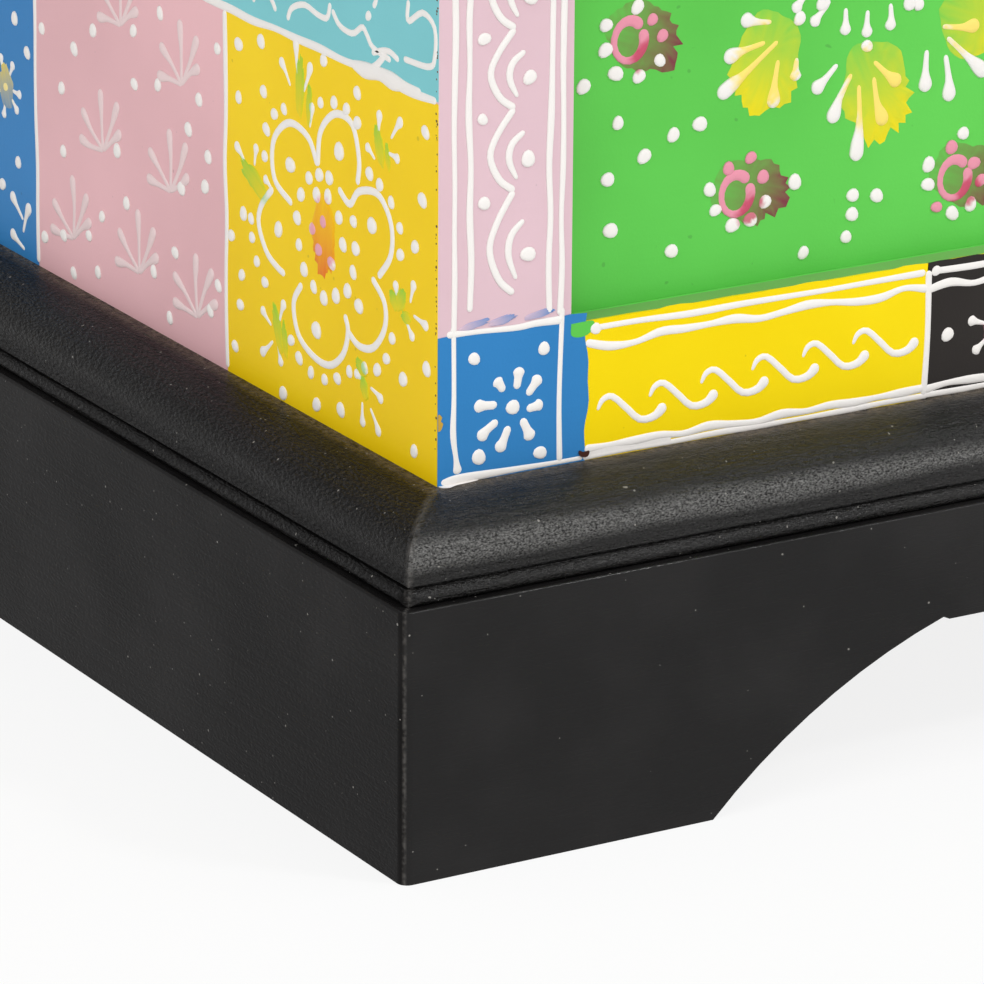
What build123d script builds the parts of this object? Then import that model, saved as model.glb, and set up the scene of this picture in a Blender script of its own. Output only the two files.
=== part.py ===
from build123d import *
import os

# A small painted chest: front and back are frames with three recessed panels, the sides are
# plain boards between them, the body stands on a mitred moulding frame over a plinth, and the
# lid turns on two butt hinges at the back. Millimetres, +Z up, front at -Y, origin on the floor
# under the middle of the chest.

# Body
body_width = 752.0
body_depth = 352.0
body_height = 275.0
frame_thickness = 20.0
stile_width = 41.0
rail_height = 39.0
muntin_width = 41.0
muntin_count = 2
side_thickness = 20.0

# Panels in the frames
panel_thickness = 8.0
panel_recess = 8.0
groove_depth = 8.0
expansion_gap = 0.8

# Joints of the frames
stile_tenon_length = 24.0
muntin_tenon_length = 18.0
tenon_shoulder = 2.0
tenon_end_gap = 0.8

# Dowels between the stiles and the side boards
dowel_diameter = 8.0
dowel_length = 36.0
dowel_depth_in_stile = 12.0
dowel_count = 3
dowel_end_distance = 48.0

# Nosed moulding, used round the base and round the lid
moulding_height = 24.0
nose_reach = 20.6
nose_drop = 13.2
nose_flat = 5.2
quirk_depth = 1.2
quirk_width = 0.9
bead_reach = 22.2
moulding_corner_radius = 5.0
moulding_ledge = 30.0

# Plinth
plinth_height = 77.0
plinth_reach = 24.0
plinth_thickness = 20.0
plinth_corner_radius = 3.0
plinth_arris_radius = 0.8
foot_length = 97.5
apron_arc_run = 74.5
apron_arc_bulge = 5.2
apron_clearance = 44.7
apron_cusp_height = 0.9
apron_cusp_run = 2.0

# Bottom of the body
bottom_thickness = 10.0
bottom_gap = 0.5
bearer_width = 45.0
bearer_end_distance = 256.0

# Corner blocks inside the plinth
block_size = 40.0
block_floor_gap = 5.0

# Lid
lid_thickness = moulding_height
batten_width = 50.0
batten_thickness = 18.0
batten_length = 280.0
batten_end_distance = 156.0
batten_chamfer = 4.0

# Butt hinges
hinge_length = 60.0
hinge_end_distance = 156.0
leaf_width = 17.0
leaf_thickness = 1.6
leaf_gap = 0.2
knuckle_radius = 4.0
knuckle_count = 5
knuckle_gap = 0.25
knuckle_standoff = 0.5
pin_radius = 1.6
pin_clearance = 0.05
pin_head_radius = 2.6
pin_head_height = 1.2
pin_head_gap = 0.1
hinge_notch_gap = 3.0
hinge_notch_clearance = 0.8

# Countersunk wood screws
screw_clearance = 0.05
screw_slot_width = 0.8
screw_slot_depth = 0.7
screw_tip_length = 3.0
hinge_screw_head_radius = 3.2
hinge_screw_shank_radius = 1.6
hinge_screw_length = 15.0
hinge_screw_count = 3
hinge_screw_end_distance = 10.0
frame_screw_head_radius = 4.2
frame_screw_shank_radius = 2.1
frame_screw_head_height = 2.4
base_screw_length = 44.0
base_screw_count_long = 3
base_screw_end_distance_long = 136.0
base_screw_count_short = 2
base_screw_end_distance_short = 96.0
batten_screw_length = 34.0
batten_screw_count = 3
batten_screw_end_distance = 30.0
block_screw_length = 52.0
block_screw_pitch = 30.0
block_screw_low = 20.0
block_screw_stagger = 12.0

# How far a cutting shape runs past the faces that it cuts
overcut = 1.0
quarter_turn = 90

# Worked out from the sizes above
body_bottom = plinth_height + moulding_height
body_top = body_bottom + body_height
half_width = body_width / 2
half_depth = body_depth / 2
panel_count = muntin_count + 1
opening_width = (body_width - 2 * stile_width - muntin_count * muntin_width) / panel_count
opening_bottom = body_bottom + rail_height
opening_top = body_top - rail_height
pivot_y = half_depth + knuckle_radius + knuckle_standoff
pivot_z = body_top


def block(x0, x1, y0, y1, z0, z1):
    """A rectangular solid between two corners."""
    return Pos((x0 + x1) / 2, (y0 + y1) / 2, (z0 + z1) / 2) * Box(x1 - x0, y1 - y0, z1 - z0)


def spread(count, half_length, end_distance):
    """Centred, evenly spaced positions, the outer ones a distance in from the two ends."""
    reach = half_length - end_distance
    return [reach * (2 * i / (count - 1) - 1) for i in range(count)]


def turned(solid, angle):
    """The solid turned about the chest's upright middle line."""
    return Rot(0, 0, angle) * solid


def screw_outline(head_radius, head_height, shank_radius, length, grow=0.0, above=0.0):
    """A solid of revolution for a countersunk screw, head at the origin, shank down -Z."""
    points = [(0, above), (head_radius + grow, above)]
    if above > 0:
        points.append((head_radius + grow, 0))
    points.append((shank_radius + grow, -head_height))
    points.append((shank_radius + grow, -(length - screw_tip_length)))
    points.append((0, -length - grow))
    section = make_face(Plane.XZ * Polyline(*points, close=True))
    return revolve(section, Axis.Z)


def screw(head_radius, head_height, shank_radius, length):
    """A slotted countersunk wood screw."""
    body = screw_outline(head_radius, head_height, shank_radius, length)
    slot = Box(2 * head_radius + 2 * overcut, screw_slot_width, 2 * screw_slot_depth)
    return body - slot


def screw_hole(head_radius, head_height, shank_radius, length):
    """The countersunk hole that such a screw fills, cut with a small clearance."""
    return screw_outline(head_radius, head_height, shank_radius, length, screw_clearance, overcut)


def frame_screw(length, hole=False):
    make = screw_hole if hole else screw
    return make(frame_screw_head_radius, frame_screw_head_height, frame_screw_shank_radius, length)


def screw_group(places, length):
    return Compound(children=[place * frame_screw(length) for place in places])


def hinge_screw(hole=False):
    make = screw_hole if hole else screw
    return make(hinge_screw_head_radius, leaf_thickness, hinge_screw_shank_radius, hinge_screw_length)


# Places of the screws. Each is a placement that carries a screw from its head at the origin.
screw_up = Rot(2 * quarter_turn, 0, 0)
base_screw_line = frame_thickness / 2
base_screw_places = []
for x in spread(base_screw_count_long, half_width, base_screw_end_distance_long):
    for side in (-1, 1):
        base_screw_places.append(Pos(x, side * (half_depth - base_screw_line), plinth_height) * screw_up)
for y in spread(base_screw_count_short, half_depth, base_screw_end_distance_short):
    for side in (-1, 1):
        base_screw_places.append(Pos(side * (half_width - side_thickness / 2), y, plinth_height) * screw_up)
base_screw_holes = [place * frame_screw(base_screw_length, hole=True) for place in base_screw_places]

batten_bottom = body_top - batten_thickness
batten_places = [-half_width + batten_end_distance, half_width - batten_end_distance]
batten_screw_places = []
for x in batten_places:
    for y in spread(batten_screw_count, batten_length / 2, batten_screw_end_distance):
        batten_screw_places.append(Pos(x, y, batten_bottom) * screw_up)
batten_screw_holes = [place * frame_screw(batten_screw_length, hole=True) for place in batten_screw_places]

hinge_places = [-half_width + hinge_end_distance, half_width - hinge_end_distance]
hinge_screw_y = half_depth - leaf_width / 2
body_leaf_top = body_top - leaf_gap / 2
body_leaf_bottom = body_leaf_top - leaf_thickness
lid_leaf_bottom = body_top + leaf_gap / 2
lid_leaf_top = lid_leaf_bottom + leaf_thickness
body_leaf_screw_places = []
lid_leaf_screw_places = []
for x in hinge_places:
    for offset in spread(hinge_screw_count, hinge_length / 2, hinge_screw_end_distance):
        body_leaf_screw_places.append(Pos(x + offset, hinge_screw_y, body_leaf_top))
        lid_leaf_screw_places.append(Pos(x + offset, hinge_screw_y, lid_leaf_bottom) * screw_up)
body_leaf_screw_holes = [place * hinge_screw(hole=True) for place in body_leaf_screw_places]
lid_leaf_screw_holes = [place * hinge_screw(hole=True) for place in lid_leaf_screw_places]

# Dowels lie along Y, in the middle of a side board's thickness, from the stile into its end.
dowels = []
dowel_radius = dowel_diameter / 2
for side_x in (-1, 1):
    for side_y in (-1, 1):
        for z in spread(dowel_count, body_height / 2, dowel_end_distance):
            inner_face = half_depth - frame_thickness
            middle = inner_face + dowel_depth_in_stile - dowel_length / 2
            x = side_x * (half_width - side_thickness / 2)
            place = Pos(x, side_y * middle, body_bottom + body_height / 2 + z)
            dowels.append(place * Rot(quarter_turn, 0, 0) * Cylinder(dowel_radius, dowel_length))


def corner_block_center(side_x, side_y):
    x = side_x * (half_width + plinth_reach - plinth_thickness - block_size / 2)
    y = side_y * (half_depth + plinth_reach - plinth_thickness - block_size / 2)
    return x, y


# Block screws run outwards from a block's inner faces into the two plinth boards beside it. Those
# of the long boards and those of the short boards are at different heights, so they don't meet.
block_screw_places = []
for side_x in (-1, 1):
    for side_y in (-1, 1):
        x, y = corner_block_center(side_x, side_y)
        for step in range(2):
            low = block_screw_low + step * block_screw_pitch
            outward_y = Pos(x, y - side_y * block_size / 2, low) * Rot(side_y * quarter_turn, 0, 0)
            high = low + block_screw_stagger
            outward_x = Pos(x - side_x * block_size / 2, y, high) * Rot(0, -side_x * quarter_turn, 0)
            block_screw_places.append(outward_y)
            block_screw_places.append(outward_x)
block_screw_holes = [place * frame_screw(block_screw_length, hole=True) for place in block_screw_places]


def cut_by(solid, tools):
    """Cut only with the tools whose boxes reach the solid, which keeps every cut a real one."""
    own = solid.bounding_box()
    for tool in tools:
        other = tool.bounding_box()
        apart = (
            other.min.X >= own.max.X or other.max.X <= own.min.X
            or other.min.Y >= own.max.Y or other.max.Y <= own.min.Y
            or other.min.Z >= own.max.Z or other.max.Z <= own.min.Z
        )
        if not apart:
            solid = solid - tool
    return solid


# Frame and panels of the front. The back is the same frame turned half round.
front_y = -half_depth
inner_y = front_y + frame_thickness
panel_y0 = front_y + panel_recess
panel_y1 = panel_y0 + panel_thickness
opening_lefts = [
    -half_width + stile_width + i * (opening_width + muntin_width) for i in range(panel_count)
]


def panel_blank(left, grow):
    """A panel, or with some growth the space that the grooves round it leave."""
    return block(
        left - groove_depth - grow, left + opening_width + groove_depth + grow, panel_y0, panel_y1,
        opening_bottom - groove_depth - grow, opening_top + groove_depth + grow,
    )


def front_frame():
    """The stiles, rails, muntins and panels of the front, by name."""
    grooves = [panel_blank(left, 0) for left in opening_lefts]
    inner_left = -half_width + stile_width
    tenon_low = body_bottom + tenon_shoulder
    tenon_high = opening_bottom - groove_depth - tenon_shoulder
    muntin_lefts = [left + opening_width for left in opening_lefts[:-1]]
    muntin_inset = groove_depth + tenon_shoulder
    pieces = {}

    # Rails, with a tenon at each end
    rail_tenons = []
    for name, low in (("rail_bottom", body_bottom), ("rail_top", opening_top)):
        z0 = tenon_low if name == "rail_bottom" else opening_top + groove_depth + tenon_shoulder
        z1 = tenon_high if name == "rail_bottom" else body_top - tenon_shoulder
        rail = block(inner_left, -inner_left, front_y, inner_y, low, low + rail_height)
        reach = -inner_left + stile_tenon_length
        rail = rail + block(-reach, reach, panel_y0, panel_y1, z0, z1)
        long_reach = reach + tenon_end_gap
        rail_tenons.append(block(-long_reach, long_reach, panel_y0, panel_y1, z0, z1))
        pieces[name] = rail

    # Muntins, with a tenon at the top and the bottom
    muntin_tenons = []
    for i, left in enumerate(muntin_lefts):
        right = left + muntin_width
        muntin = block(left, right, front_y, inner_y, opening_bottom, opening_top)
        t0 = opening_bottom - muntin_tenon_length
        t1 = opening_top + muntin_tenon_length
        muntin = muntin + block(left + muntin_inset, right - muntin_inset, panel_y0, panel_y1, t0, t1)
        muntin_tenons.append(block(
            left + muntin_inset, right - muntin_inset, panel_y0, panel_y1,
            t0 - tenon_end_gap, t1 + tenon_end_gap,
        ))
        pieces[f"muntin_{i + 1}"] = cut_by(muntin, grooves)

    for name in ("rail_bottom", "rail_top"):
        pieces[name] = cut_by(pieces[name], grooves + muntin_tenons)
    for name, x0 in (("stile_left", -half_width), ("stile_right", half_width - stile_width)):
        stile = block(x0, x0 + stile_width, front_y, inner_y, body_bottom, body_top)
        pieces[name] = cut_by(stile, grooves + rail_tenons)
    for i, left in enumerate(opening_lefts):
        pieces[f"panel_{i + 1}"] = panel_blank(left, -expansion_gap)
    return pieces


def back_name(name):
    """The name that a piece of the front frame has once it is turned half round."""
    swap = {"stile_left": "stile_right", "stile_right": "stile_left"}
    for i in range(muntin_count):
        swap[f"muntin_{i + 1}"] = f"muntin_{muntin_count - i}"
    for i in range(panel_count):
        swap[f"panel_{i + 1}"] = f"panel_{panel_count - i}"
    return swap.get(name, name)


def moulding_section(ledge):
    """The nosed moulding's section: X outwards from the wall, Y up from its underside."""
    flat_bottom = moulding_height - nose_drop - nose_flat
    nose_bottom = moulding_height - nose_drop
    bead_top = flat_bottom - quirk_width
    quirk = nose_reach - quirk_depth
    outline = [
        Line((-ledge, 0), (quirk, 0)),
        ThreePointArc((quirk, 0), (bead_reach, bead_top / 2), (quirk, bead_top)),
        Line((quirk, bead_top), (quirk, flat_bottom)),
        Polyline((quirk, flat_bottom), (nose_reach, flat_bottom), (nose_reach, nose_bottom)),
        EllipticalCenterArc((0, nose_bottom), nose_reach, nose_drop, start_angle=0, arc_size=quarter_turn),
        Polyline((0, moulding_height), (-ledge, moulding_height), (-ledge, 0))
        if ledge > 0 else Line((0, moulding_height), (0, 0)),
    ]
    return make_face(Curve() + outline)


def plinth_section():
    """A plinth board's section: X outwards from the body's wall, Y up from the floor."""
    inner = plinth_reach - plinth_thickness
    r = plinth_arris_radius
    outline = [
        Line((inner, 0), (plinth_reach, 0)),
        Line((plinth_reach, 0), (plinth_reach, plinth_height - r)),
        RadiusArc((plinth_reach, plinth_height - r), (plinth_reach - r, plinth_height), -r),
        Line((plinth_reach - r, plinth_height), (inner, plinth_height)),
        Line((inner, plinth_height), (inner, 0)),
    ]
    return make_face(Curve() + outline)


def mitred(section, angle, low, inner, outer, corner_radius):
    """A section carried along one wall, mitred at both ends and rounded at the outer corners."""
    long_wall = angle % (2 * quarter_turn) == 0
    run = half_width if long_wall else half_depth
    standoff = half_depth if long_wall else half_width
    start = run + outer + overcut
    plane = Plane(origin=(start, -standoff, low), x_dir=(0, -1, 0), z_dir=(-1, 0, 0))
    member = extrude(plane * section, 2 * start)
    plan = Polyline(
        (-run - inner, -standoff - inner), (run + inner, -standoff - inner),
        (run + outer, -standoff - outer), (-run - outer, -standoff - outer), close=True,
    )
    height = member.bounding_box().max.Z - low
    prism = extrude(Plane.XY.offset(low) * make_face(plan), height)
    rounded = RectangleRounded(2 * (run + outer), 2 * (standoff + outer), corner_radius)
    corner = extrude(Plane.XY.offset(low) * rounded, height)
    return turned(member & prism & corner, angle)


def apron_cut():
    """The space under the front or back apron: an arc up from each foot, a cusp and a flat."""
    outer = half_width + plinth_reach
    foot = outer - foot_length
    top = foot - apron_arc_run
    cusp_z = apron_clearance + apron_cusp_height
    middle_x = (foot + top) / 2
    middle_z = cusp_z / 2
    chord = (apron_arc_run ** 2 + cusp_z ** 2) ** 0.5
    bulge_x = middle_x + apron_arc_bulge * cusp_z / chord
    bulge_z = middle_z + apron_arc_bulge * apron_arc_run / chord
    flat = top - apron_cusp_run
    outline = [
        Line((-foot, -overcut), (-foot, 0)),
        ThreePointArc((-foot, 0), (-bulge_x, bulge_z), (-top, cusp_z)),
        Line((-top, cusp_z), (-flat, apron_clearance)),
        Line((-flat, apron_clearance), (flat, apron_clearance)),
        Line((flat, apron_clearance), (top, cusp_z)),
        ThreePointArc((top, cusp_z), (bulge_x, bulge_z), (foot, 0)),
        Line((foot, 0), (foot, -overcut)),
        Line((foot, -overcut), (-foot, -overcut)),
    ]
    face = Plane.XZ * make_face(Curve() + outline)
    reach = half_depth + plinth_reach + overcut
    return extrude(face, reach, both=True)


def hinge(x, on_lid):
    """One leaf of a butt hinge with its share of the knuckles, about the pivot line."""
    z0 = lid_leaf_bottom if on_lid else body_leaf_bottom
    z1 = lid_leaf_top if on_lid else body_leaf_top
    leaf = block(
        x - hinge_length / 2, x + hinge_length / 2, half_depth - leaf_width, half_depth, z0, z1,
    )
    knuckle_pitch = (hinge_length + knuckle_gap) / knuckle_count
    knuckle_length = knuckle_pitch - knuckle_gap
    start = x - hinge_length / 2
    for i in range(knuckle_count):
        if (i % 2 == 1) != on_lid:
            continue
        left = start + i * knuckle_pitch
        place = Pos(left + knuckle_length / 2, pivot_y, pivot_z) * Rot(0, quarter_turn, 0)
        leaf = leaf + block(left, left + knuckle_length, half_depth, pivot_y, z0, z1)
        leaf = leaf + place * Cylinder(knuckle_radius, knuckle_length)
    bore = Cylinder(pin_radius + pin_clearance, hinge_length + 2 * overcut)
    leaf = leaf - Pos(x, pivot_y, pivot_z) * Rot(0, quarter_turn, 0) * bore
    return cut_by(leaf, lid_leaf_screw_holes if on_lid else body_leaf_screw_holes)


def hinge_pin(x):
    """A pin with a low round head at each end, just clear of the end knuckles."""
    place = Pos(x, pivot_y, pivot_z) * Rot(0, quarter_turn, 0)
    pin = Cylinder(pin_radius, hinge_length + 2 * (pin_head_gap + pin_head_height))
    head = Cylinder(pin_head_radius, pin_head_height)
    for side in (-1, 1):
        pin = pin + Pos(0, 0, side * (hinge_length / 2 + pin_head_gap + pin_head_height / 2)) * head
    return place * pin


parts = {}

# Front and back frames
mortise_depth = leaf_thickness + leaf_gap / 2
leaf_mortises = [
    block(
        x - hinge_length / 2, x + hinge_length / 2, half_depth - leaf_width, half_depth + overcut,
        body_top - mortise_depth, body_top + overcut,
    )
    for x in hinge_places
]
for name, solid in front_frame().items():
    parts[f"front_{name}"] = cut_by(solid, dowels + base_screw_holes)
    parts[f"back_{back_name(name)}"] = cut_by(
        turned(solid, 2 * quarter_turn), dowels + base_screw_holes + leaf_mortises + body_leaf_screw_holes
    )

# Side boards between the frames
side_y = half_depth - frame_thickness
for name, x0 in (("left", -half_width), ("right", half_width - side_thickness)):
    board = block(x0, x0 + side_thickness, -side_y, side_y, body_bottom, body_top)
    parts[f"side_board_{name}"] = cut_by(board, dowels + base_screw_holes)
parts["corner_dowels"] = Compound(children=dowels)

# Bottom board on the moulding's ledge and on two bearers
inside_x = half_width - side_thickness - bottom_gap
inside_y = half_depth - frame_thickness - bottom_gap
parts["bottom_board"] = block(
    -inside_x, inside_x, -inside_y, inside_y, body_bottom, body_bottom + bottom_thickness,
)
bearer_y = half_depth - moulding_ledge
bearer_x = half_width - bearer_end_distance
for name, x in (("left", -bearer_x), ("right", bearer_x)):
    parts[f"bottom_bearer_{name}"] = block(
        x - bearer_width / 2, x + bearer_width / 2, -bearer_y, bearer_y, plinth_height, body_bottom,
    )

# Base moulding frame, plinth boards and corner blocks
walls = [(name, i * quarter_turn) for i, name in enumerate(("front", "right", "back", "left"))]
base_section = moulding_section(moulding_ledge)
board_section = plinth_section()
plinth_inner = plinth_reach - plinth_thickness
arch = apron_cut()
for name, angle in walls:
    moulding = mitred(base_section, angle, plinth_height, -moulding_ledge, bead_reach, moulding_corner_radius)
    parts[f"base_moulding_{name}"] = cut_by(moulding, base_screw_holes)
    board = mitred(board_section, angle, 0, plinth_inner, plinth_reach, plinth_corner_radius)
    if name in ("front", "back"):
        board = board - arch
    parts[f"plinth_{name}"] = cut_by(board, block_screw_holes)
block_names = {(-1, -1): "front_left", (1, -1): "front_right", (-1, 1): "back_left", (1, 1): "back_right"}
for (side_x, side_y_sign), name in block_names.items():
    x, y = corner_block_center(side_x, side_y_sign)
    half = block_size / 2
    corner = block(x - half, x + half, y - half, y + half, block_floor_gap, plinth_height)
    parts[f"corner_block_{name}"] = cut_by(corner, block_screw_holes)
parts["base_screws"] = screw_group(base_screw_places, base_screw_length)
parts["block_screws"] = screw_group(block_screw_places, block_screw_length)

# Lid: a board with a nosed moulding glued round it and two battens screwed under it
lid_board = block(-half_width, half_width, -half_depth, half_depth, body_top, body_top + lid_thickness)
lid_mortises = [
    block(
        x - hinge_length / 2, x + hinge_length / 2, half_depth - leaf_width, half_depth + overcut,
        body_top - overcut, body_top + mortise_depth,
    )
    for x in hinge_places
]
parts["lid_board"] = cut_by(lid_board, lid_mortises + lid_leaf_screw_holes + batten_screw_holes)
lid_section = moulding_section(0)
notch_length = hinge_length / 2 + hinge_notch_gap
notch_height = knuckle_radius + hinge_notch_clearance
lid_notches = [
    block(
        x - notch_length, x + notch_length, half_depth - overcut,
        pivot_y + knuckle_radius + hinge_notch_clearance, body_top - overcut, body_top + notch_height,
    )
    for x in hinge_places
]
for name, angle in walls:
    moulding = mitred(lid_section, angle, body_top, 0, bead_reach, moulding_corner_radius)
    if name == "back":
        moulding = cut_by(moulding, lid_notches)
    parts[f"lid_moulding_{name}"] = moulding
for name, x in (("left", batten_places[0]), ("right", batten_places[1])):
    batten = block(
        x - batten_width / 2, x + batten_width / 2, -batten_length / 2, batten_length / 2,
        batten_bottom, body_top,
    )
    batten = chamfer(batten.faces().sort_by(Axis.Z)[0].edges(), batten_chamfer)
    parts[f"lid_batten_{name}"] = cut_by(batten, batten_screw_holes)
parts["batten_screws"] = screw_group(batten_screw_places, batten_screw_length)

# Hinges
for name, x in (("left", hinge_places[0]), ("right", hinge_places[1])):
    parts[f"hinge_body_leaf_{name}"] = hinge(x, on_lid=False)
    parts[f"hinge_lid_leaf_{name}"] = hinge(x, on_lid=True)
    parts[f"hinge_pin_{name}"] = hinge_pin(x)
parts["hinge_screws_body"] = Compound(children=[place * hinge_screw() for place in body_leaf_screw_places])
parts["hinge_screws_lid"] = Compound(children=[place * hinge_screw() for place in lid_leaf_screw_places])

os.makedirs("parts", exist_ok=True)
for name, shape in parts.items():
    export_step(shape, f"parts/{name}.step")
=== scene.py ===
import bpy
import numpy as np
from mathutils import Euler, Matrix


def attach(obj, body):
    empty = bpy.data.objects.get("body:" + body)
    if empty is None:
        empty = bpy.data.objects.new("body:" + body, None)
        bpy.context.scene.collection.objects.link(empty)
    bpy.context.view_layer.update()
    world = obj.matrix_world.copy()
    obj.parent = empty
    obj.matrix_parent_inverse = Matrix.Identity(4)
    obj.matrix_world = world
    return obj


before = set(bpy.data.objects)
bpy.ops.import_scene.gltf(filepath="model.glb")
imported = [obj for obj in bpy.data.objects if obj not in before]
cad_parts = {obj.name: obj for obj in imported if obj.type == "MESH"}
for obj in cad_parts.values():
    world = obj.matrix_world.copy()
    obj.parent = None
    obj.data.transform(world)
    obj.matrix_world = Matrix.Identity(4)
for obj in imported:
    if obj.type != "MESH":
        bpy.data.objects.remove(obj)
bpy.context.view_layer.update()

# Plinth
# Four mitred boards of painted wood that the chest stands on, the front and back ones with an
# arched apron. They were brushed with a thick glossy black that shows the bristles' tracks.
MM = 0.001
HALF_WIDTH, HALF_DEPTH = 0.376, 0.176
BODY_FOOT = 0.101
MITRE = HALF_WIDTH - HALF_DEPTH
NOSE = 0.0902
BRISTLES_ALONG, BRISTLES_ACROSS = 24.0, 620.0
PITS_ALONG, PITS_ACROSS = 560.0, 1400.0
# The pair below sets the speckle of the painted highlight on the moulding's nose.
HIGHLIGHT_GRIT_ALONG, HIGHLIGHT_GRIT_ACROSS = 2300.0 / 1.7, 2300.0


def shade(red, green, blue):
    """A screen colour, 0 to 255, as the linear colour that a shader takes."""
    c = np.array([red, green, blue]) / 255
    return np.where(c <= 0.04045, c / 12.92, ((c + 0.055) / 1.055) ** 2.4)


def solid(colour):
    return (*[float(c) for c in colour], 1.0)


def add_node(tree, kind, inputs=(), **settings):
    """A shader node. An input takes a plain value or another node's output."""
    made = tree.nodes.new(kind)
    for name, value in settings.items():
        setattr(made, name, value)
    for name, value in dict(inputs).items():
        if isinstance(value, bpy.types.NodeSocket):
            tree.links.new(value, made.inputs[name])
        else:
            made.inputs[name].default_value = value
    return made


def new_finish(name, roughness):
    """An empty finish: its material, its node tree, its shader and the object's own coordinates."""
    material = bpy.data.materials.new(name)
    material.use_nodes = True
    tree = material.node_tree
    shader = tree.nodes["Principled BSDF"]
    shader.inputs["Roughness"].default_value = roughness
    return material, tree, shader, add_node(tree, "ShaderNodeTexCoord").outputs["Object"]


def speckle(tree, coords, scale, detail=2.0):
    """Noise stretched by a scale along each axis, in waves to the metre."""
    spot = add_node(tree, "ShaderNodeMapping", {"Vector": coords, "Scale": scale})
    inputs = {"Vector": spot.outputs[0], "Scale": 1.0, "Detail": detail}
    return add_node(tree, "ShaderNodeTexNoise", inputs).outputs["Fac"]


def drawn_out(tree, coords, along, waves_along, waves_across, detail):
    """Noise drawn out along one axis, as a brush or the grain of wood leaves it."""
    waves = [waves_across] * 3
    waves[along] = waves_along
    return speckle(tree, coords, waves, detail)


def remap(tree, value, low, high, to_low, to_high):
    """A value stretched from one range to another and held inside it."""
    ranged = add_node(tree, "ShaderNodeMapRange", {
        "Value": value, "From Min": low, "From Max": high, "To Min": to_low, "To Max": to_high,
    })
    return ranged.outputs[0]


def mixed(tree, share, first, second):
    """Two colours mixed by a share."""
    mix = add_node(tree, "ShaderNodeMix", data_type="RGBA")
    for spot, value in ((0, share), (6, first), (7, second)):
        if isinstance(value, bpy.types.NodeSocket):
            tree.links.new(value, mix.inputs[spot])
        else:
            mix.inputs[spot].default_value = value
    return mix.outputs[2]


def bumped(tree, shader, layers):
    """Bump from (height, distance) layers, laid one over the other."""
    normal = None
    for height, distance in layers:
        inputs = {"Height": height, "Distance": distance, "Strength": 1.0}
        if normal is not None:
            inputs["Normal"] = normal
        normal = add_node(tree, "ShaderNodeBump", inputs).outputs[0]
    tree.links.new(normal, shader.inputs["Normal"])


def figure(tree, operation, *values):
    """One sum: an operation on plain values or other nodes' outputs."""
    return add_node(tree, "ShaderNodeMath", dict(enumerate(values)), operation=operation).outputs[0]


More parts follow.
